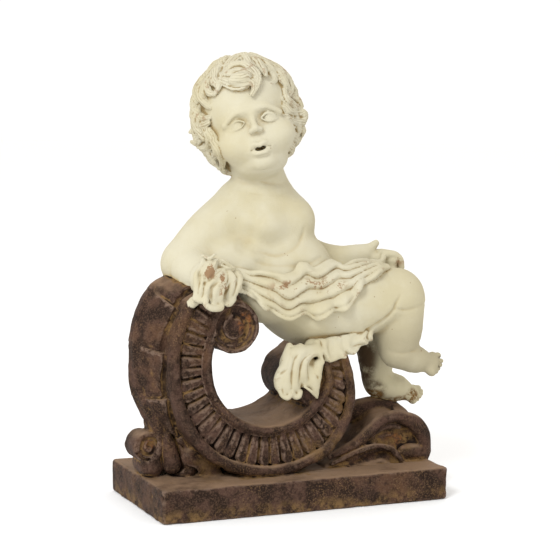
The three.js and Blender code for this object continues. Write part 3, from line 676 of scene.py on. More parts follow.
def press_hair(clay):
    clay.ball("hair", on_head((-2.5, -8, 10)), (48, 47, 50), HEAD_AXES)
    clay.ball("hair", on_head((-2, -14, 9)), (50, 47.5, 52.5), HEAD_AXES)
    clay.ball("hair", on_head((-1, 50, 38)), (12, 8, 7), HEAD_AXES)
    rows = [
        (-32, 9, 106, 22, 7.0),
        (-14, 10, 96, 28, 7.5),
        (6, 11, 86, 30, 7.5),
        (26, 12, 72, 32, 7.5),
        (46, 11, 52, 32, 7.5),
        (66, 8, 26, 32, 7.5),
        (85, 5, 0, 30, 7.5),
    ]
    for elevation, count, gap, length, width in rows:
        for i in range(count):
            azimuth = gap + (360 - 2 * gap) * (i + 0.5) / count + rng.uniform(-3, 3)
            sway = rng.uniform(0.5, 1.1)
            line = scalp_line(azimuth, elevation + rng.uniform(-4, 4), length, sway, rng.uniform(0.04, 0.16))
            lock(clay, line, width * rng.uniform(0.85, 1.15))
    brow_side = [
        ([(5, 6, 64), (0, 14, 61), (-7, 22, 56), (-13, 31, 49), (-18, 38, 43)], 5),
        ([(10, 8, 64), (11, 20, 58), (12, 31, 50), (15, 40, 42), (17, 45, 35)], 4),
        ([(-16, 34, 47), (-6, 41, 45), (3, 44, 43), (9, 47, 39), (12, 49, 33)], 5),
        ([(-19, 36, 44), (-13, 44, 38), (-6, 49, 33), (1, 51, 32), (7, 51, 33), (10, 52, 29), (8, 52, 23)],
         4.2),
        ([(-14, 33, 48), (-4, 32, 53), (6, 35, 51), (12, 42, 44), (15, 47, 35), (12, 51, 27), (5, 53, 20)],
         4.8),
        ([(14, 12, 60), (20, 22, 53), (23, 34, 43), (24, 41, 35)], 4),
    ]
    left_side = [
        ([(-5, 0, 66), (-18, 0, 60), (-31, 2, 53), (-41, 4, 46), (-46, 8, 38), (-45, 12, 31)], 5.5),
        ([(-2, 6, 64), (-13, 14, 58), (-24, 20, 51), (-32, 22, 44), (-33, 31, 35), (-28, 38, 31)], 5),
        ([(-13, 16, 58), (-21, 24, 52), (-24, 33, 44), (-23, 40, 37), (-29, 38, 31)], 4.5),
        ([(-38, 8, 44), (-45, 6, 37), (-49, 6, 29), (-49, 8, 22), (-45, 17, 14), (-38, 28, 12)], 5),
        ([(-48, 2, 32), (-51, 2, 23), (-51, 4, 15), (-46, 16, 8), (-40, 26, 8)], 5),
        ([(-51, -4, 20), (-53, -3, 13), (-56, -3, 8), (-61, -4, 6)], 4.5),
        ([(-51, 2, 12), (-49, 10, 4), (-53, 2, -2), (-58, -2, -5), (-62, -4, -3)], 5),
        ([(-47, 14, 5), (-44, 20, -4), (-45, 14, -11), (-50, 2, -13), (-57, -4, -10)], 4.5),
        ([(-43, 21, 1), (-40, 23, -10), (-40, 17, -19), (-44, 2, -23), (-49, -6, -22)], 4.5),
        ([(-42, 21, -9), (-39, 27, -20), (-38, 12, -30), (-40, -4, -37)], 4.5),
        ([(-48, 4, -8), (-46, 0, -17), (-45, -5, -27), (-42, -8, -36)], 4.5),
    ]
    right_side = [
        ([(21, 2, 60), (27, 4, 53), (35, 6, 45), (41, 8, 36), (42, 12, 29), (35, 18, 29)], 5),
        ([(16, 6, 63), (21, 10, 57), (26, 14, 49), (30, 20, 40), (32, 26, 31), (26, 36, 27)], 4.8),
        ([(28, 0, 54), (38, 2, 44), (44, 4, 33), (46, 8, 22), (43, 14, 16), (36, 22, 13)], 5),
        ([(42, 6, 28), (42, 8, 19), (46, 4, 13), (51, 2, 8), (53, 0, 1)], 4.8),
        ([(38, 17, 21), (37, 23, 10), (42, 14, 4), (49, 4, 0), (52, 0, -7)], 4.8),
        ([(34, 27, 4), (37, 23, -2), (44, 8, -3), (52, 2, -6), (50, 4, -13), (42, 13, -12), (33, 27, -8)],
         4.5),
        ([(32, 28, -7), (36, 20, -12), (42, 6, -16), (48, 0, -21), (45, -2, -27)], 4.5),
        ([(30, 32, -14), (32, 26, -22), (37, 8, -26), (39, 0, -31), (34, -3, -34)], 4.5),
        ([(27, 32, -24), (28, 24, -32), (31, 6, -35), (30, 0, -40), (24, 4, -43)], 4.2),
    ]
    clay.ball("hair", on_head((41, 3, -10)), (8, 12, 16), HEAD_AXES)
    clay.ball("hair", on_head((-54, -2, 1)), (6, 8, 8), HEAD_AXES)
    for line, width in left_side + right_side + brow_side:
        lock(clay, on_head(line), 1.22 * width)


# Cloth


def press_lap_cloth(clay):
    """The cloth lies over the belly and the near thigh, between its wavy rim and its wavy hem."""
    rim = [
        (-84, -42, 242), (-64, -44, 236), (-48, -44, 232), (-31, -50, 228), (-22, -50, 226),
        (-12, -50, 231), (0, -45, 240), (12, -46, 235), (36, -38, 242), (46, -40, 234), (64, -36, 232),
        (96, -26, 238), (106, -18, 246),
    ]
    hem = [
        (-70, -54, 220), (-57, -60, 209), (-46, -64, 199), (-38, -66, 192), (-21, -68, 184),
        (-4, -68, 192), (10, -68, 187), (25, -68, 197), (37, -68, 198), (50, -66, 210), (59, -64, 223),
        (76, -58, 228), (98, -44, 236),
    ]
    across, down = 190, 56
    top, low = curve(rim, across), curve(hem, across)
    u = np.linspace(0, 1, across)[:, None]
    v = np.linspace(0, 1, down)[None, :]
    sheet = top[:, None, :] * (1 - v)[..., None] + low[:, None, :] * v[..., None]
    step = np.mod(4.1 * v - 1.4 * u + 0.12 * np.sin(11 * u) + 0.07 * np.sin(29 * u), 1)
    folds = 3.8 * smooth(step, 0.0, 0.7) * (1 - smooth(step, 0.78, 1.0))
    ruffle = 3.2 * np.sin(2 * np.pi * 6.4 * u + 1.5 * np.sin(9 * u)) * smooth(v, 0.55, 1.0)
    calm = smooth(u, 0.0, 0.08) * (1 - smooth(u, 0.9, 1.0))
    heights = 2.2 + (folds * (1 - 0.7 * smooth(v, 0.8, 1.0)) + ruffle + 3.4 * smooth(v, 0.75, 1)) * calm
    places = clay.settle("body", sheet.reshape(-1, 3), np.maximum(heights, 1.2).reshape(-1))
    clay.dabs("cloth", places, 1.9, 0.5)
    grid = places.reshape(across, down, 3)
    clay.stroke("cloth", grid[::5, 0], 2.6, 0.5)
    clay.stroke("cloth", grid[::3, -1], 2.4, 0.5)
    under = clay.settle("body", grid[:, -8:].reshape(-1, 3), np.full(across * 8, 1.0))
    clay.dabs("cloth", under, 1.8, 0.5)
    tuck = [(20, -46, 238), (34, -42, 241), (44, -42, 238)]
    clay.stroke("cloth", tuck, (1, 2.4, 1), 1.5, rest="cloth", height=0.6)


def press_elbow_cloth(clay):
    """The bunched end of the cloth on the forearm: crumpled folds that end in a rolled hem."""
    _, stroke, ball = clay.tools("cloth")
    ball((-98, -47, 229), (19, 14, 19), blend=2)
    ball((-82, -47, 224), (14, 12.5, 15), blend=4)
    ball((-98, -53, 214), (16, 10, 10), blend=4)
    folds = [
        ([(-104, -50, 250), (-108, -54, 241), (-114, -57, 234), (-114, -58, 223), (-115, -57, 213)],
         (2, 3, 3.4, 3.4, 2.6)),
        ([(-100, -54, 248), (-104, -59, 240), (-109, -61, 230), (-111, -61, 220), (-111, -59, 212)],
         (2, 3, 3.4, 3.4, 2.6)),
        ([(-94, -54, 247), (-101, -59, 239), (-106, -61, 229), (-107, -60, 219)], (3, 4.6, 4.6, 3.4)),
        ([(-86, -57, 239), (-97, -62, 233), (-104, -63, 224), (-107, -61, 214)], (2.6, 3.6, 3.6, 3)),
        ([(-83, -58, 234), (-94, -64, 226), (-99, -65, 218), (-99, -63, 208)], (3, 4, 4, 3.4)),
        ([(-84, -60, 230), (-91, -64, 220), (-93, -64, 213), (-93, -62, 206)], (3, 4, 3.8, 3)),
        ([(-82, -57, 238), (-78, -60, 231), (-79, -60, 223), (-82, -58, 212)], (2.6, 3.2, 3.6, 3.4)),
        ([(-73, -53, 236), (-70, -57, 230), (-74, -59, 220), (-78, -57, 211)], (2.4, 3.4, 3.6, 2.8)),
    ]
    for line, radii in folds:
        stroke(line, radii, 2.8)
    gathers = [
        [(-107, -52, 253), (-101, -56, 250), (-95, -56, 254)],
        [(-104, -56, 246), (-99, -60, 244), (-93, -58, 249)],
        [(-90, -58, 244), (-84, -60, 241), (-74, -56, 240)],
    ]
    for line in gathers:
        stroke(line, (1.2, 2.0, 1.2), 0.8)
    hem = [
        (-116, -58, 212), (-111, -61, 210), (-107, -64, 212), (-108, -66, 207), (-102, -67, 203.5),
        (-93, -66, 203.5), (-89, -62, 208), (-82, -61, 206), (-76, -58, 210),
    ]
    stroke(hem, (2.4, 2.6, 2.6, 3.0, 3.2, 3.2, 2.6, 2.8, 2.4), 2.4)
    creases = [
        ([(-90, -62, 242), (-100, -66, 234), (-109, -66, 227)], (1.2, 2.4, 1.2)),
        ([(-95, -68, 230), (-102, -68, 224), (-104, -67, 216), (-102, -66, 210)], (0.8, 1.9, 1.9, 1.0)),
        ([(-84, -62, 237), (-84, -65, 228), (-89, -67, 222)], (0.8, 1.8, 1.0)),
        ([(-107, -56, 247), (-112, -60, 238), (-113, -62, 227), (-113, -61, 217)], (0.6, 1.5, 1.5, 0.8)),
        ([(-102, -60, 245), (-107, -63, 236), (-109, -64, 226), (-110, -62, 214)], (0.6, 1.5, 1.5, 0.8)),
        ([(-87, -66, 224), (-86, -66, 216), (-87, -63, 208)], (1.0, 3.2, 1.6)),
        ([(-76, -60, 234), (-75, -62, 226), (-78, -62, 214)], (0.6, 1.5, 1.0)),
        ([(-96, -60, 250), (-92, -60, 246), (-84, -60, 245)], (0.6, 1.3, 0.5)),
    ]
    for line, radii in creases:
        stroke(line, radii, 0.8, carve=True, rest="cloth", height=0.2)


def press_frill(clay):
    """A hanging hem through three lines from its top down, gathered into folds that deepen downwards."""
    across, down, waves, depth = 130, 44, 5.3, 2.8
    lines = [
        [(14, -53, 165), (34, -53, 167), (54, -54, 170), (76, -52, 174)],
        [(14, -58, 155), (34, -58, 157), (54, -58, 162), (76, -54, 170)],
        [(16, -58, 146), (36, -59, 148), (54, -58, 155), (74, -54, 165)],
    ]
    rows = [curve(line, across) for line in lines]
    grid = np.stack([curve([row[i] for row in rows], down) for i in range(across)])
    u = np.linspace(0, 1, across)[:, None]
    v = np.linspace(0, 1, down)[None, :]
    stray = 0.05 * np.sin(6 * u) + 0.045 * np.sin(13 * u) + 0.06 * np.sin(3.6 * v) * (0.4 + u)
    turn = 2 * np.pi * waves * (u + stray)
    swing = np.sin(turn)
    strong = depth * (0.75 + 0.4 * np.sin(9 * u + 2 * v))
    fold = np.sign(swing) * np.abs(swing) ** 0.8 * strong * (0.45 + 0.55 * v)
    slide = 0.5 * strong * np.sin(turn + 1.2) * (0.3 + 0.7 * v)
    along = rows[-1][-1] - rows[-1][0]
    along = along / np.linalg.norm(along)
    grid = grid + fold[..., None] * np.array((0, -1, -0.3)) + slide[..., None] * along
    clay.dabs("cloth", grid.reshape(-1, 3), 1.9, 0.5)


def press_seat_cloth(clay):
    """The cloth's end that falls below the thigh in front of the scroll, and its frill to the right."""
    _, stroke, ball = clay.tools("cloth")
    ball((-5, -50, 142), (18, 12, 20), blend=2)
    ball((-14, -52, 128), (15, 11.5, 14), blend=4)
    press_frill(clay)
    stroke([(14, -46, 158), (44, -46, 162), (72, -45, 169)], (9, 7, 6), 3)
    folds = [
        ([(-15, -54, 162), (-20, -57, 153), (-22, -58, 144),
          (-27, -58, 134), (-27, -58, 125), (-23, -59, 117)],
         (3, 4, 4, 5, 5, 4)),
        ([(-4, -56, 161), (-14, -59, 155), (-18, -60, 145),
          (-20, -60, 134), (-20, -60, 124), (-15, -60, 116)],
         (3.4, 4.6, 5, 5, 4.6, 3)),
        ([(12, -57, 160), (-3, -60, 157), (-10, -61, 149), (-12, -61, 137), (-11, -60, 126), (-8, -59, 117)],
         (3.4, 4.6, 5, 5, 4.6, 2.6)),
        ([(20, -58, 156), (6, -60, 154), (-2, -61, 146), (-2, -60, 133), (1, -58, 123)],
         (3.4, 4.4, 5, 5.4, 3.4)),
        ([(15, -57, 142), (11, -58, 131), (11, -58, 121), (14, -57, 111)], (5.4, 7, 5.6, 1.8)),
        ([(4, -58, 138), (6, -59, 127), (12, -57, 114)], (4, 4.4, 2)),
    ]
    for line, radii in folds:
        stroke(line, radii, 3.2)
    curls = [
        ([(-29, -61, 122), (-26, -63, 115), (-21, -64, 112), (-16, -64, 115)], (2.0, 2.4, 2.4, 1.6)),
        ([(-15, -61, 118), (-12, -62, 113), (-8, -62, 113), (-5, -60, 117)], (2.4, 3.0, 3.0, 2.4)),
        ([(-2, -62, 122), (5, -63, 117), (13, -60, 110)], (1.2, 1.8, 1.2)),
    ]
    for line, radii in curls:
        stroke(line, radii, 1.8)
    for y in (-64, -58, -52):
        stroke([(-1, y, 118), (4, y, 112), (9, y, 106)], (2.2, 3.4, 4), 0.6, carve=True)
    creases = [
        ([(-13, -58, 160), (-19, -63, 151), (-22, -63, 142)], (0.5, 1.3, 1.0)),
        ([(-21, -64, 141), (-27, -64, 137), (-32, -61, 133)], (1.0, 2.2, 1.4)),
        ([(0, -60, 159), (-12, -65, 153), (-16, -66, 145), (-17, -66, 133), (-16, -64, 121)],
         (0.5, 1.3, 1.5, 1.3, 0.8)),
        ([(11, -62, 157), (-2, -66, 152), (-7, -66, 144), (-8, -66, 132), (-7, -64, 122)],
         (0.5, 1.3, 1.5, 1.3, 0.8)),
        ([(10, -64, 152), (5, -65, 149), (2, -66, 143), (2, -65, 133), (3, -64, 126)],
         (0.5, 1.3, 1.6, 1.3, 0.7)),
        ([(8, -66, 136), (12, -66, 131), (14, -64, 127)], (1.0, 2.6, 1.0)),
        ([(-26, -63, 121), (-25, -65, 115)], (1.2, 1.8)),
        ([(-17, -65, 121), (-17, -65, 114)], (0.8, 1.6)),
    ]
    for line, radii in creases:
        stroke(line, 0.85 * np.array(radii), 1.2, carve=True, rest="cloth", height=0.3)


# The casting


def sculpt():
    clay = Clay(*BLOCK, GRAIN)
    press_plinth(clay)
    press_scroll(clay)
    press_volute(clay, LEFT_VOLUTE, 53, eye=0.34, groove=3.4)
    press_side_leaf(clay)
    press_wave_leaf(clay)
    clay.roughen("base", 14, 0.45)
    clay.roughen("base", 5, 0.22)
    press_torso(clay)
    press_arms(clay)
    press_legs(clay)
    press_face(clay)
    press_hair(clay)
    press_lap_cloth(clay)
    press_elbow_cloth(clay)
    press_seat_cloth(clay)
    clay.roughen("hair", 3.5, 0.22)
    clay.roughen("cloth", 7, 0.25)
    clay.roughen("body", 24, 0.35)
    return clay


def blurred(array, reach):
    """The mean over a cube of that half-width, in grains."""
    for axis in range(3):
        padded = np.pad(array, [(reach + 1, reach) if n == axis else (0, 0) for n in range(3)], mode="edge")
        total = np.cumsum(padded, axis=axis, dtype=np.float32)
        size = array.shape[axis]
        ahead = np.take(total, range(2 * reach + 1, 2 * reach + 1 + size), axis=axis)
        behind = np.take(total, range(0, size), axis=axis)
        array = (ahead - behind) / (2 * reach + 1)
    return array


def mesh_from(clay, whole):
    reach = 3 * GRAIN
    grid = openvdb.FloatGrid(reach)
    grid.copyFromArray(np.clip(whole, -reach, reach))
    points, quads = grid.convertToQuads(0.0)
    places = (points * GRAIN + clay.low) * MM
    mesh = bpy.data.meshes.new("putto_casting")
    mesh.from_pydata(places.tolist(), [], quads.tolist())
    mesh.validate()
    casting = bpy.data.objects.new("putto_casting", mesh)
    bpy.context.collection.objects.link(casting)
    return casting


def finish_surface(casting):
    """Evens out the grain, thins the mesh to its limit and drops the bubbles shut in between forms."""
    bpy.ops.object.select_all(action="DESELECT")
    casting.select_set(True)
    bpy.context.view_layer.objects.active = casting
    soften = casting.modifiers.new("soften", "SMOOTH")
    soften.factor, soften.iterations = 0.5, 1
    bpy.ops.object.modifier_apply(modifier=soften.name)
    triangles = sum(len(p.vertices) - 2 for p in casting.data.polygons)
    thin = casting.modifiers.new("thin", "DECIMATE")
    thin.ratio = min(MOST_TRIANGLES / triangles, 1.0)
    bpy.ops.object.modifier_apply(modifier=thin.name)
    bpy.ops.object.mode_set(mode="EDIT")
    bpy.ops.mesh.select_all(action="DESELECT")
    bpy.ops.object.mode_set(mode="OBJECT")
    corner = min(casting.data.vertices, key=lambda v: v.co.x + v.co.y + v.co.z)
    corner.select = True
    bpy.ops.object.mode_set(mode="EDIT")
    bpy.ops.mesh.select_linked()
    bpy.ops.mesh.select_all(action="INVERT")
    bpy.ops.mesh.delete(type="VERT")
    bpy.ops.object.mode_set(mode="OBJECT")
    bpy.ops.object.shade_smooth()


def near_spots(places, spots):
    """How strongly places lie within any of the spots, each a middle and its three radii."""
    value = np.zeros(len(places))
    for middle, radii in spots:
        off = np.linalg.norm((places - np.array(middle)) / np.array(radii), axis=1)
        value = np.maximum(value, 1 - smooth(off, 0.55, 1.0))
    return value


def near_lines(places, lines):
    """How strongly places lie on any of the lines, each with its half-width."""
    value = np.zeros(len(places))
    for line, wide in lines:
        for p in curve(line, 14):
            off = np.linalg.norm(places - p, axis=1) / wide
            value = np.maximum(value, 1 - smooth(off, 0.4, 1.0))
    return value


def across_strands(places):
    """How far each place lies to the side of the nearest lock's middle line, in millimetres."""
    middles = np.concatenate([axis for axis, _ in STRANDS])
    sides = np.concatenate([side for _, side in STRANDS])
    tree = KDTree(len(middles))
    for i, p in enumerate(middles.tolist()):
        tree.insert(p, i)
    tree.balance()
    nearest = np.array([tree.find(p)[1] for p in places.tolist()])
    return np.einsum("ij,ij->i", places - middles[nearest], sides[nearest])


# Where dirt, chips, bare patches, painted shade on the near leg and the painted shadow in the mouth lie: the
# middle of each spot and its three radii
SPOTS = {
    "spill": [((-116, -54, 209), (9, 9, 9))],
    "sole": [((138, -4, 91), (24, 14, 9)), ((106, 0, 97), (14, 16, 10)), ((148, -8, 96), (10, 12, 10))],
    "chips": [
        ((-103, -64, 238), (9, 12, 13)), ((-91, -66, 231), (8, 10, 9)), ((-88, -70, 219), (10, 10, 10)),
        ((-4, -62, 221), (46, 16, 9)), ((20, -62, 222), (26, 16, 10)), ((124, -10, 242), (13, 18, 12)),
    ],
    "bare": [((-103, -63, 237), (6.5, 10, 9)), ((-91, -65, 232), (4.5, 8, 5))],
    "rust": [
        ((-62, -52, 186), (11, 8, 14)), ((48, -54, 152), (9, 10, 12)),
        ((-145, -18, 65), (8, 8, 8)), ((118, -34, 56), (16, 14, 12)),
    ],
    "shin": [((98, 6, 142), (15, 26, 46)), ((106, -4, 104), (16, 12, 14))],
    "dusty": [
        ((40, -54, 122), (26, 14, 44)), ((-94, -40, 40), (26, 30, 16)),
        ((118, -38, 56), (22, 16, 16)), ((20, -54, 60), (60, 14, 18)),
    ],
    # Painted shade on the near calf and foot, below the thigh
    "painted_leg_shade": [((114, -40, 158), (38, 38, 50)), ((142, -44, 140), (38, 28, 32))],
    "mouth_shadow": [(on_head((0, 45, -30.3)), (8, 6, 5))],
}


def colour_marks(clay, casting, whole):
    """Stores where each finish lies, as four colours at each point of the mesh."""
    mesh = casting.data
    count = len(mesh.vertices)
    places, normals = np.empty(count * 3, np.float32), np.empty(count * 3, np.float32)
    mesh.vertices.foreach_get("co", places)
    mesh.vertex_normals.foreach_get("vector", normals)
    places, rise = places.reshape(-1, 3) / MM, normals.reshape(-1, 3)[:, 2]
    at = {name: clay.sample(clay.layers[name], places) for name in LAYERS}
    spot = {name: near_spots(places, spots) for name, spots in SPOTS.items()}

    figure = np.minimum(np.minimum(at["body"], at["hair"]), at["cloth"])
    paint = np.maximum(smooth(at["base"] - figure, -0.6, 0.6), 0.75 * spot["spill"])
    kind = np.where(at["hair"] < np.minimum(at["body"], at["cloth"]), 0.5, 0.0)
    kind = np.where(at["cloth"] < np.minimum(at["body"], at["hair"]), 1.0, kind)
    near = np.clip(whole, -8, 8)
    fine = clay.sample(blurred(near, max(round(1.8 / GRAIN), 1)), places)
    broad = clay.sample(blurred(near, max(round(7 / GRAIN), 2)), places)
    depth = np.select([paint < 0.5, kind == 0.5, kind == 1.0], [0.55, 0.24, 0.6], 1.1)
    broad_depth = np.where(paint < 0.5, 1.7, 2.4)
    # How deep a point lies in a fine crevice and in a broad hollow; the broad part serves as painted shade in
    # large hollows
    hollow = np.clip(-fine / depth, 0, 1) * 0.65 + np.clip(-broad / broad_depth, 0, 1) * 0.5
    edge = np.clip(fine / depth, 0, 1)
    # Painted shadow: near black inside the mouth opening, where it is sunk
    mouth_shadow = spot["mouth_shadow"] * smooth(-broad, -0.4, 0.8)
    foot_of_plinth = 1 - smooth(places[:, 2], 3, 17)
    across = np.zeros(count)
    across[kind == 0.5] = across_strands(places[kind == 0.5])
    colours = {
        "marks": (paint, np.clip(hollow, 0, 1), edge, kind),
        # The first channel is the share facing up: dust on the base, and a painted highlight and sheen on top
        # faces
        "weather_and_top_light": (smooth(rise, 0.45, 0.95), foot_of_plinth, spot["shin"], spot["dusty"]),
        # Painted shade between the toes, painted shade on faces that look down, each point's offset across
        # its lock, and painted shade on the near leg
        "strokes_and_shade": (near_lines(places, PAINTED_TOE_SHADE), smooth(-rise, -0.15, 0.85), across, spot["painted_leg_shade"]),
        "stains_and_mouth_shadow": (mouth_shadow, spot["sole"], spot["chips"] + spot["bare"], spot["rust"]),
    }
    for name, channels in colours.items():
        colour = mesh.attributes.new(name, "FLOAT_COLOR", "POINT")
        colour.data.foreach_set("color", np.stack(channels, 1).ravel())


# Finishes


# The numbers of a colour mixer's sockets
MIX_UNDER, MIX_OVER, MIX_COLOUR = 6, 7, 2


class Finish:
    """A material under construction, with short words for the nodes it is made of."""

    def __init__(self, name):
        self.material = bpy.data.materials.new(name)
        self.material.use_nodes = True
        self.nodes, self.links = self.material.node_tree.nodes, self.material.node_tree.links
        self.shader = self.nodes["Principled BSDF"]
        self.place = self.nodes.new("ShaderNodeTexCoord").outputs["Object"]

    def marks(self, name):
        """The four channels of a colour that is stored on the mesh."""
        attribute = self.nodes.new("ShaderNodeAttribute")
        attribute.attribute_name = name
        parts = self.nodes.new("ShaderNodeSeparateColor")
        self.links.new(attribute.outputs["Color"], parts.inputs["Color"])
        return (*(parts.outputs[n] for n in ("Red", "Green", "Blue")), attribute.outputs["Alpha"])

    def node(self, kind, values, **settings):
        """The outputs of a new node. Its sockets take constants or links, by name or number."""
        node = self.nodes.new("ShaderNode" + kind)
        for name, value in settings.items():
            setattr(node, name, value)
        for name, value in values.items():
            if isinstance(value, bpy.types.NodeSocket):
                self.links.new(value, node.inputs[name])
            else:
                node.inputs[name].default_value = value
        return node.outputs

    def noise(self, scale, detail=4.0, rough=0.6):
        values = {"Vector": self.place, "Scale": scale, "Detail": detail, "Roughness": rough}
        return self.node("TexNoise", values)["Fac"]

    def maths(self, operation, a, b=0.0, clamp=True):
        return self.node("Math", {0: a, 1: b}, operation=operation, use_clamp=clamp)[0]

    def times(self, a, b, clamp=True):
        return self.maths("MULTIPLY", a, b, clamp)

    def ramp(self, value, low, high):
        values = {"Value": value, "From Min": low, "From Max": high}
        return self.node("MapRange", values, interpolation_type="SMOOTHSTEP")["Result"]

    def between(self, factor, low, high):
        return self.node("MapRange", {"Value": factor, "To Min": low, "To Max": high})["Result"]

    def tone(self, factor, under, over):
        """The colour over lies on the colour under as far as the factor says."""
        under, over = ((*c, 1) if isinstance(c, tuple) else c for c in (under, over))
        return self.node("Mix", {0: factor, MIX_UNDER: under, MIX_OVER: over}, data_type="RGBA")[MIX_COLOUR]

    def coats(self, colour, layers):
        """A colour under coats, each with its strength and its own colour."""
        for strength, over in layers:
            colour = self.tone(strength, colour, over)
        return colour


def brown_patina(f, mid, broad, fine, grit, hollow, edge):
    """The scroll and plinth: two browns, grit, rust, dust in the hollows and on top faces with a painted
    sheen there, wear on the edges lightened also as a painted highlight, and painted shade deep in the
    crevices.
    """
    _, _, _, rust = f.marks("stains_and_mouth_shadow")
    upward, foot_of_plinth, _, dusty = f.marks("weather_and_top_light")
    ground = f.tone(f.ramp(mid, 0.40, 0.62), (0.018, 0.0095, 0.0058), (0.062, 0.0330, 0.0232))
    # Dust on faces that look up, and with it a painted sheen from above on the base's top faces
    dust_and_sheen_on_top = f.times(f.ramp(f.noise(22, 6.0, 0.65), 0.22, 0.56), f.times(upward, 0.95))
    dust = f.times(f.ramp(hollow, 0.12, 0.55), f.ramp(f.noise(34, 6.0, 0.7), 0.43, 0.56))
    thick = f.times(dusty, f.ramp(f.noise(48, 6.0, 0.75), 0.40, 0.64))
    sandy = f.times(foot_of_plinth, f.ramp(f.noise(70, 6.0, 0.75), 0.44, 0.62))
    sand = f.times(f.ramp(grit, 0.54, 0.63), f.ramp(f.noise(24), 0.42, 0.66))
    # Wear on the edges, lightened also as a painted highlight on the ridges
    worn_and_lit_edges = f.times(f.ramp(edge, 0.2, 0.75), f.ramp(fine, 0.36, 0.6))
    # Painted shade: near black in the deepest hollows and crevices of the base
    painted_gap_shade = f.times(f.ramp(hollow, 0.46, 0.88), f.ramp(mid, 0.60, 0.42))
    return f.coats(ground, [
        (f.ramp(broad, 0.54, 0.72), (0.082, 0.041, 0.021)),
        (f.times(f.ramp(grit, 0.46, 0.62), 0.45), (0.115, 0.067, 0.044)),
        (f.times(f.ramp(fine, 0.47, 0.36), 0.6), (0.016, 0.008, 0.005)),
        (f.times(rust, f.ramp(fine, 0.42, 0.66)), (0.21, 0.080, 0.025)),
        (dust_and_sheen_on_top, (0.235, 0.152, 0.095)),
        (f.times(dust, f.ramp(fine, 0.30, 0.52)), (0.180, 0.104, 0.038)),
        (f.times(thick, 0.55), (0.170, 0.098, 0.036)),
        (f.times(sandy, 0.8), (0.190, 0.112, 0.044)),
        (f.times(sand, 0.4), (0.220, 0.130, 0.050)),
        # Wear and painted highlight on the edges
        (f.times(worn_and_lit_edges, 0.85), (0.165, 0.110, 0.080)),
        # Painted shade in the crevices
        (painted_gap_shade, (0.012, 0.006, 0.004)),
    ])


def cream_paint(f, mid, broad, fine, hollow, edge, kind, hair, strand):
    """The child: cream paint, washed brown in the fine crevices, with painted shade in broad hollows, on
    faces that look down, on the near leg, between the toes and inside the lips, a painted highlight on the
    tops of the hair, brown on the far sole, strand lines, chips and specks.
    """
    mouth_shadow, sole, chips, _ = f.marks("stains_and_mouth_shadow")
    upward, _, shin, _ = f.marks("weather_and_top_light")
    lines, under, _, painted_leg_shade = f.marks("strokes_and_shade")
    ground = f.tone(f.ramp(broad, 0.35, 0.7), (0.485, 0.436, 0.290), (0.530, 0.497, 0.380))
    # A wash in the fine crevices of cloth and hair, and painted shade in their broad hollows
    wash_and_shade = f.times(f.ramp(hollow, 0.12, 0.62), f.ramp(kind, 0.1, 0.85))
    ridge = f.times(f.ramp(edge, 0.25, 0.7), f.ramp(kind, 0.2, 0.6))
    chip = f.times(ridge, f.ramp(f.noise(90, 5.0, 0.7), 0.56, 0.64))
    bare = f.maths("ADD", f.noise(75, 6.0, 0.75), f.times(f.maths("SUBTRACT", chips, 1.0), 0.10))
    broken = f.times(chips, f.ramp(bare, 0.51, 0.57))
    speck = f.ramp(f.noise(190, 2.0, 0.5), 0.755, 0.78)
    return f.coats(ground, [
        # Painted shade on faces that look down
        (f.times(under, 0.15), (0.400, 0.345, 0.225)),
        # Painted shade on the near calf and foot
        (f.times(painted_leg_shade, 0.9), (0.360, 0.318, 0.212)),
        # Washed tan in the fine crevices, and painted shade in the broad hollows
        (f.ramp(hollow, 0.08, 0.80), (0.37, 0.28, 0.135)),
        (f.times(wash_and_shade, f.ramp(mid, 0.15, 0.45)), (0.225, 0.160, 0.075)),
        (f.times(strand, f.ramp(f.noise(40), 0.38, 0.85)), (0.215, 0.160, 0.080)),
        # Painted highlight on the tops of the hair
        (f.times(hair, f.ramp(upward, 0.0, 3.0)), (0.600, 0.560, 0.430)),
        (f.maths("MAXIMUM", f.times(chip, 0.7), broken), (0.270, 0.168, 0.092)),
        (f.times(speck, 0.7), (0.22, 0.14, 0.075)),
        (f.times(shin, f.ramp(f.noise(60, 6.0, 0.7), 0.30, 0.55)), (0.085, 0.055, 0.030)),
        (f.times(sole, f.ramp(fine, 0.36, 0.58)), (0.15, 0.078, 0.022)),
        # Painted shade: dark lines between the toes
        (f.times(lines, 0.9), (0.070, 0.048, 0.026)),
        # Painted shadow inside the mouth opening
        (mouth_shadow, (0.020, 0.012, 0.008)),
    ])


def casting_finish():
    """Matt cream paint on the child, and a dusty brown patina on the scroll and plinth."""
    f = Finish("painted_casting")
    paint, hollow, edge, kind = f.marks("marks")
    across = f.marks("strokes_and_shade")[2]
    broad, mid, fine, grit = f.noise(14), f.noise(55), f.noise(240, 3.0, 0.7), f.noise(620, 3.0, 0.7)
    turn = f.maths("ADD", f.times(across, 2.5, clamp=False), f.times(mid, 6.0, clamp=False), clamp=False)
    hair = f.times(f.ramp(kind, 0.2, 0.45), f.ramp(kind, 0.8, 0.55))
    strand = f.times(hair, f.ramp(f.maths("SINE", turn), 0.35, 0.95))
    brown = brown_patina(f, mid, broad, fine, grit, hollow, edge)
    cream = cream_paint(f, mid, broad, fine, hollow, edge, kind, hair, strand)

    patchy = f.maths("ADD", paint, f.times(f.maths("SUBTRACT", mid, 0.5), 0.5))
    covered = f.ramp(patchy, 0.4, 0.6)
    f.links.new(f.tone(covered, brown, cream), f.shader.inputs["Base Color"])
    f.links.new(f.between(covered, 0.66, 0.8), f.shader.inputs["Roughness"])
    f.shader.inputs["Specular IOR Level"].default_value = 0.10
    grain = f.maths("ADD", f.times(fine, 0.55), f.times(grit, 0.45))
    height = f.maths("SUBTRACT", grain, f.times(strand, 0.5), clamp=False)
    bump = f.node("Bump", {"Strength": 0.45, "Distance": 0.0014, "Height": height})
    f.links.new(bump["Normal"], f.shader.inputs["Normal"])
    return f.material


# Stage


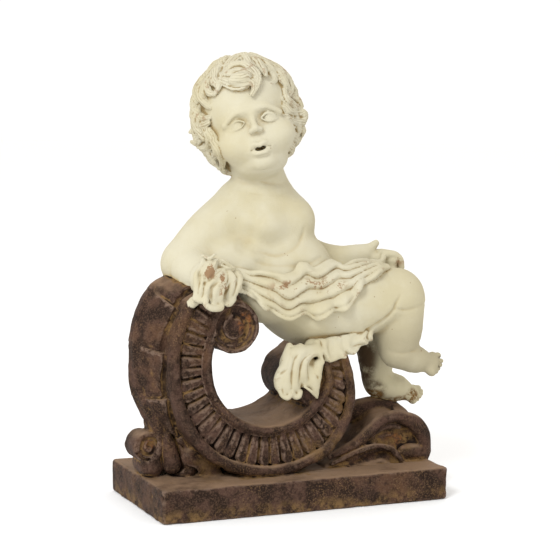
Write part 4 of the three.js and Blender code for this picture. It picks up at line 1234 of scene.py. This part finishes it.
def set_stage():
    bpy.ops.object.select_all(action="DESELECT")
    bpy.ops.mesh.primitive_plane_add(size=FLOOR_SIZE, location=(0, 0, 0))
    floor = bpy.context.object
    floor.name = "floor"
    white = bpy.data.materials.new("floor_white")
    white.use_nodes = True
    shader = white.node_tree.nodes["Principled BSDF"]
    shader.inputs["Base Color"].default_value = FLOOR_COLOUR
    shader.inputs["Roughness"].default_value = FLOOR_ROUGHNESS
    floor.data.materials.append(white)

    light = bpy.data.lights.new("key", "AREA")
    light.shape, light.size, light.energy, light.color = "DISK", LAMP_SIZE, LAMP_POWER, LAMP_COLOUR
    lamp = bpy.data.objects.new("key", light)
    lamp.location = LAMP_PLACE
    lamp.rotation_euler = (Vector(LAMP_TARGET) - Vector(LAMP_PLACE)).to_track_quat("-Z", "Y").to_euler()
    bpy.context.collection.objects.link(lamp)

    world = bpy.data.worlds.new("studio")
    world.use_nodes = True
    background = world.node_tree.nodes["Background"]
    background.inputs["Color"].default_value = WORLD_COLOUR
    background.inputs["Strength"].default_value = WORLD_STRENGTH
    bpy.context.scene.world = world
    bpy.context.scene.view_settings.view_transform = "Standard"


def set_camera():
    az, el = math.radians(CAMERA_AZIMUTH), math.radians(CAMERA_ELEVATION)
    forward = Vector((math.sin(az) * math.cos(el), math.cos(az) * math.cos(el), -math.sin(el)))
    roll = Matrix.Rotation(math.radians(CAMERA_ROLL), 3, "Z").to_quaternion()
    camera = bpy.data.objects.new("camera", bpy.data.cameras.new("camera"))
    camera.location = Vector(CAMERA_TARGET) - CAMERA_DISTANCE * forward
    camera.rotation_euler = (forward.to_track_quat("-Z", "Y") @ roll).to_euler()
    camera.data.lens = CAMERA_LENS
    bpy.context.collection.objects.link(camera)
    bpy.context.scene.camera = camera


def main():
    clay = sculpt()
    body, hair, cloth, base = (clay.layers[name] for name in LAYERS)
    figure = soft_min(soft_min(body, hair, FIGURE_BLEND), cloth, CLOTH_BLEND)
    # The plinth stands flat, so nothing reaches below its underside
    whole = np.maximum(soft_min(figure, base, BASE_BLEND), -clay.axes[2])
    casting = mesh_from(clay, whole)
    finish_surface(casting)
    colour_marks(clay, casting, whole)
    casting.data.materials.append(casting_finish())
    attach(casting, "root")
    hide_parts(NODE)
    set_stage()
    set_camera()


main()
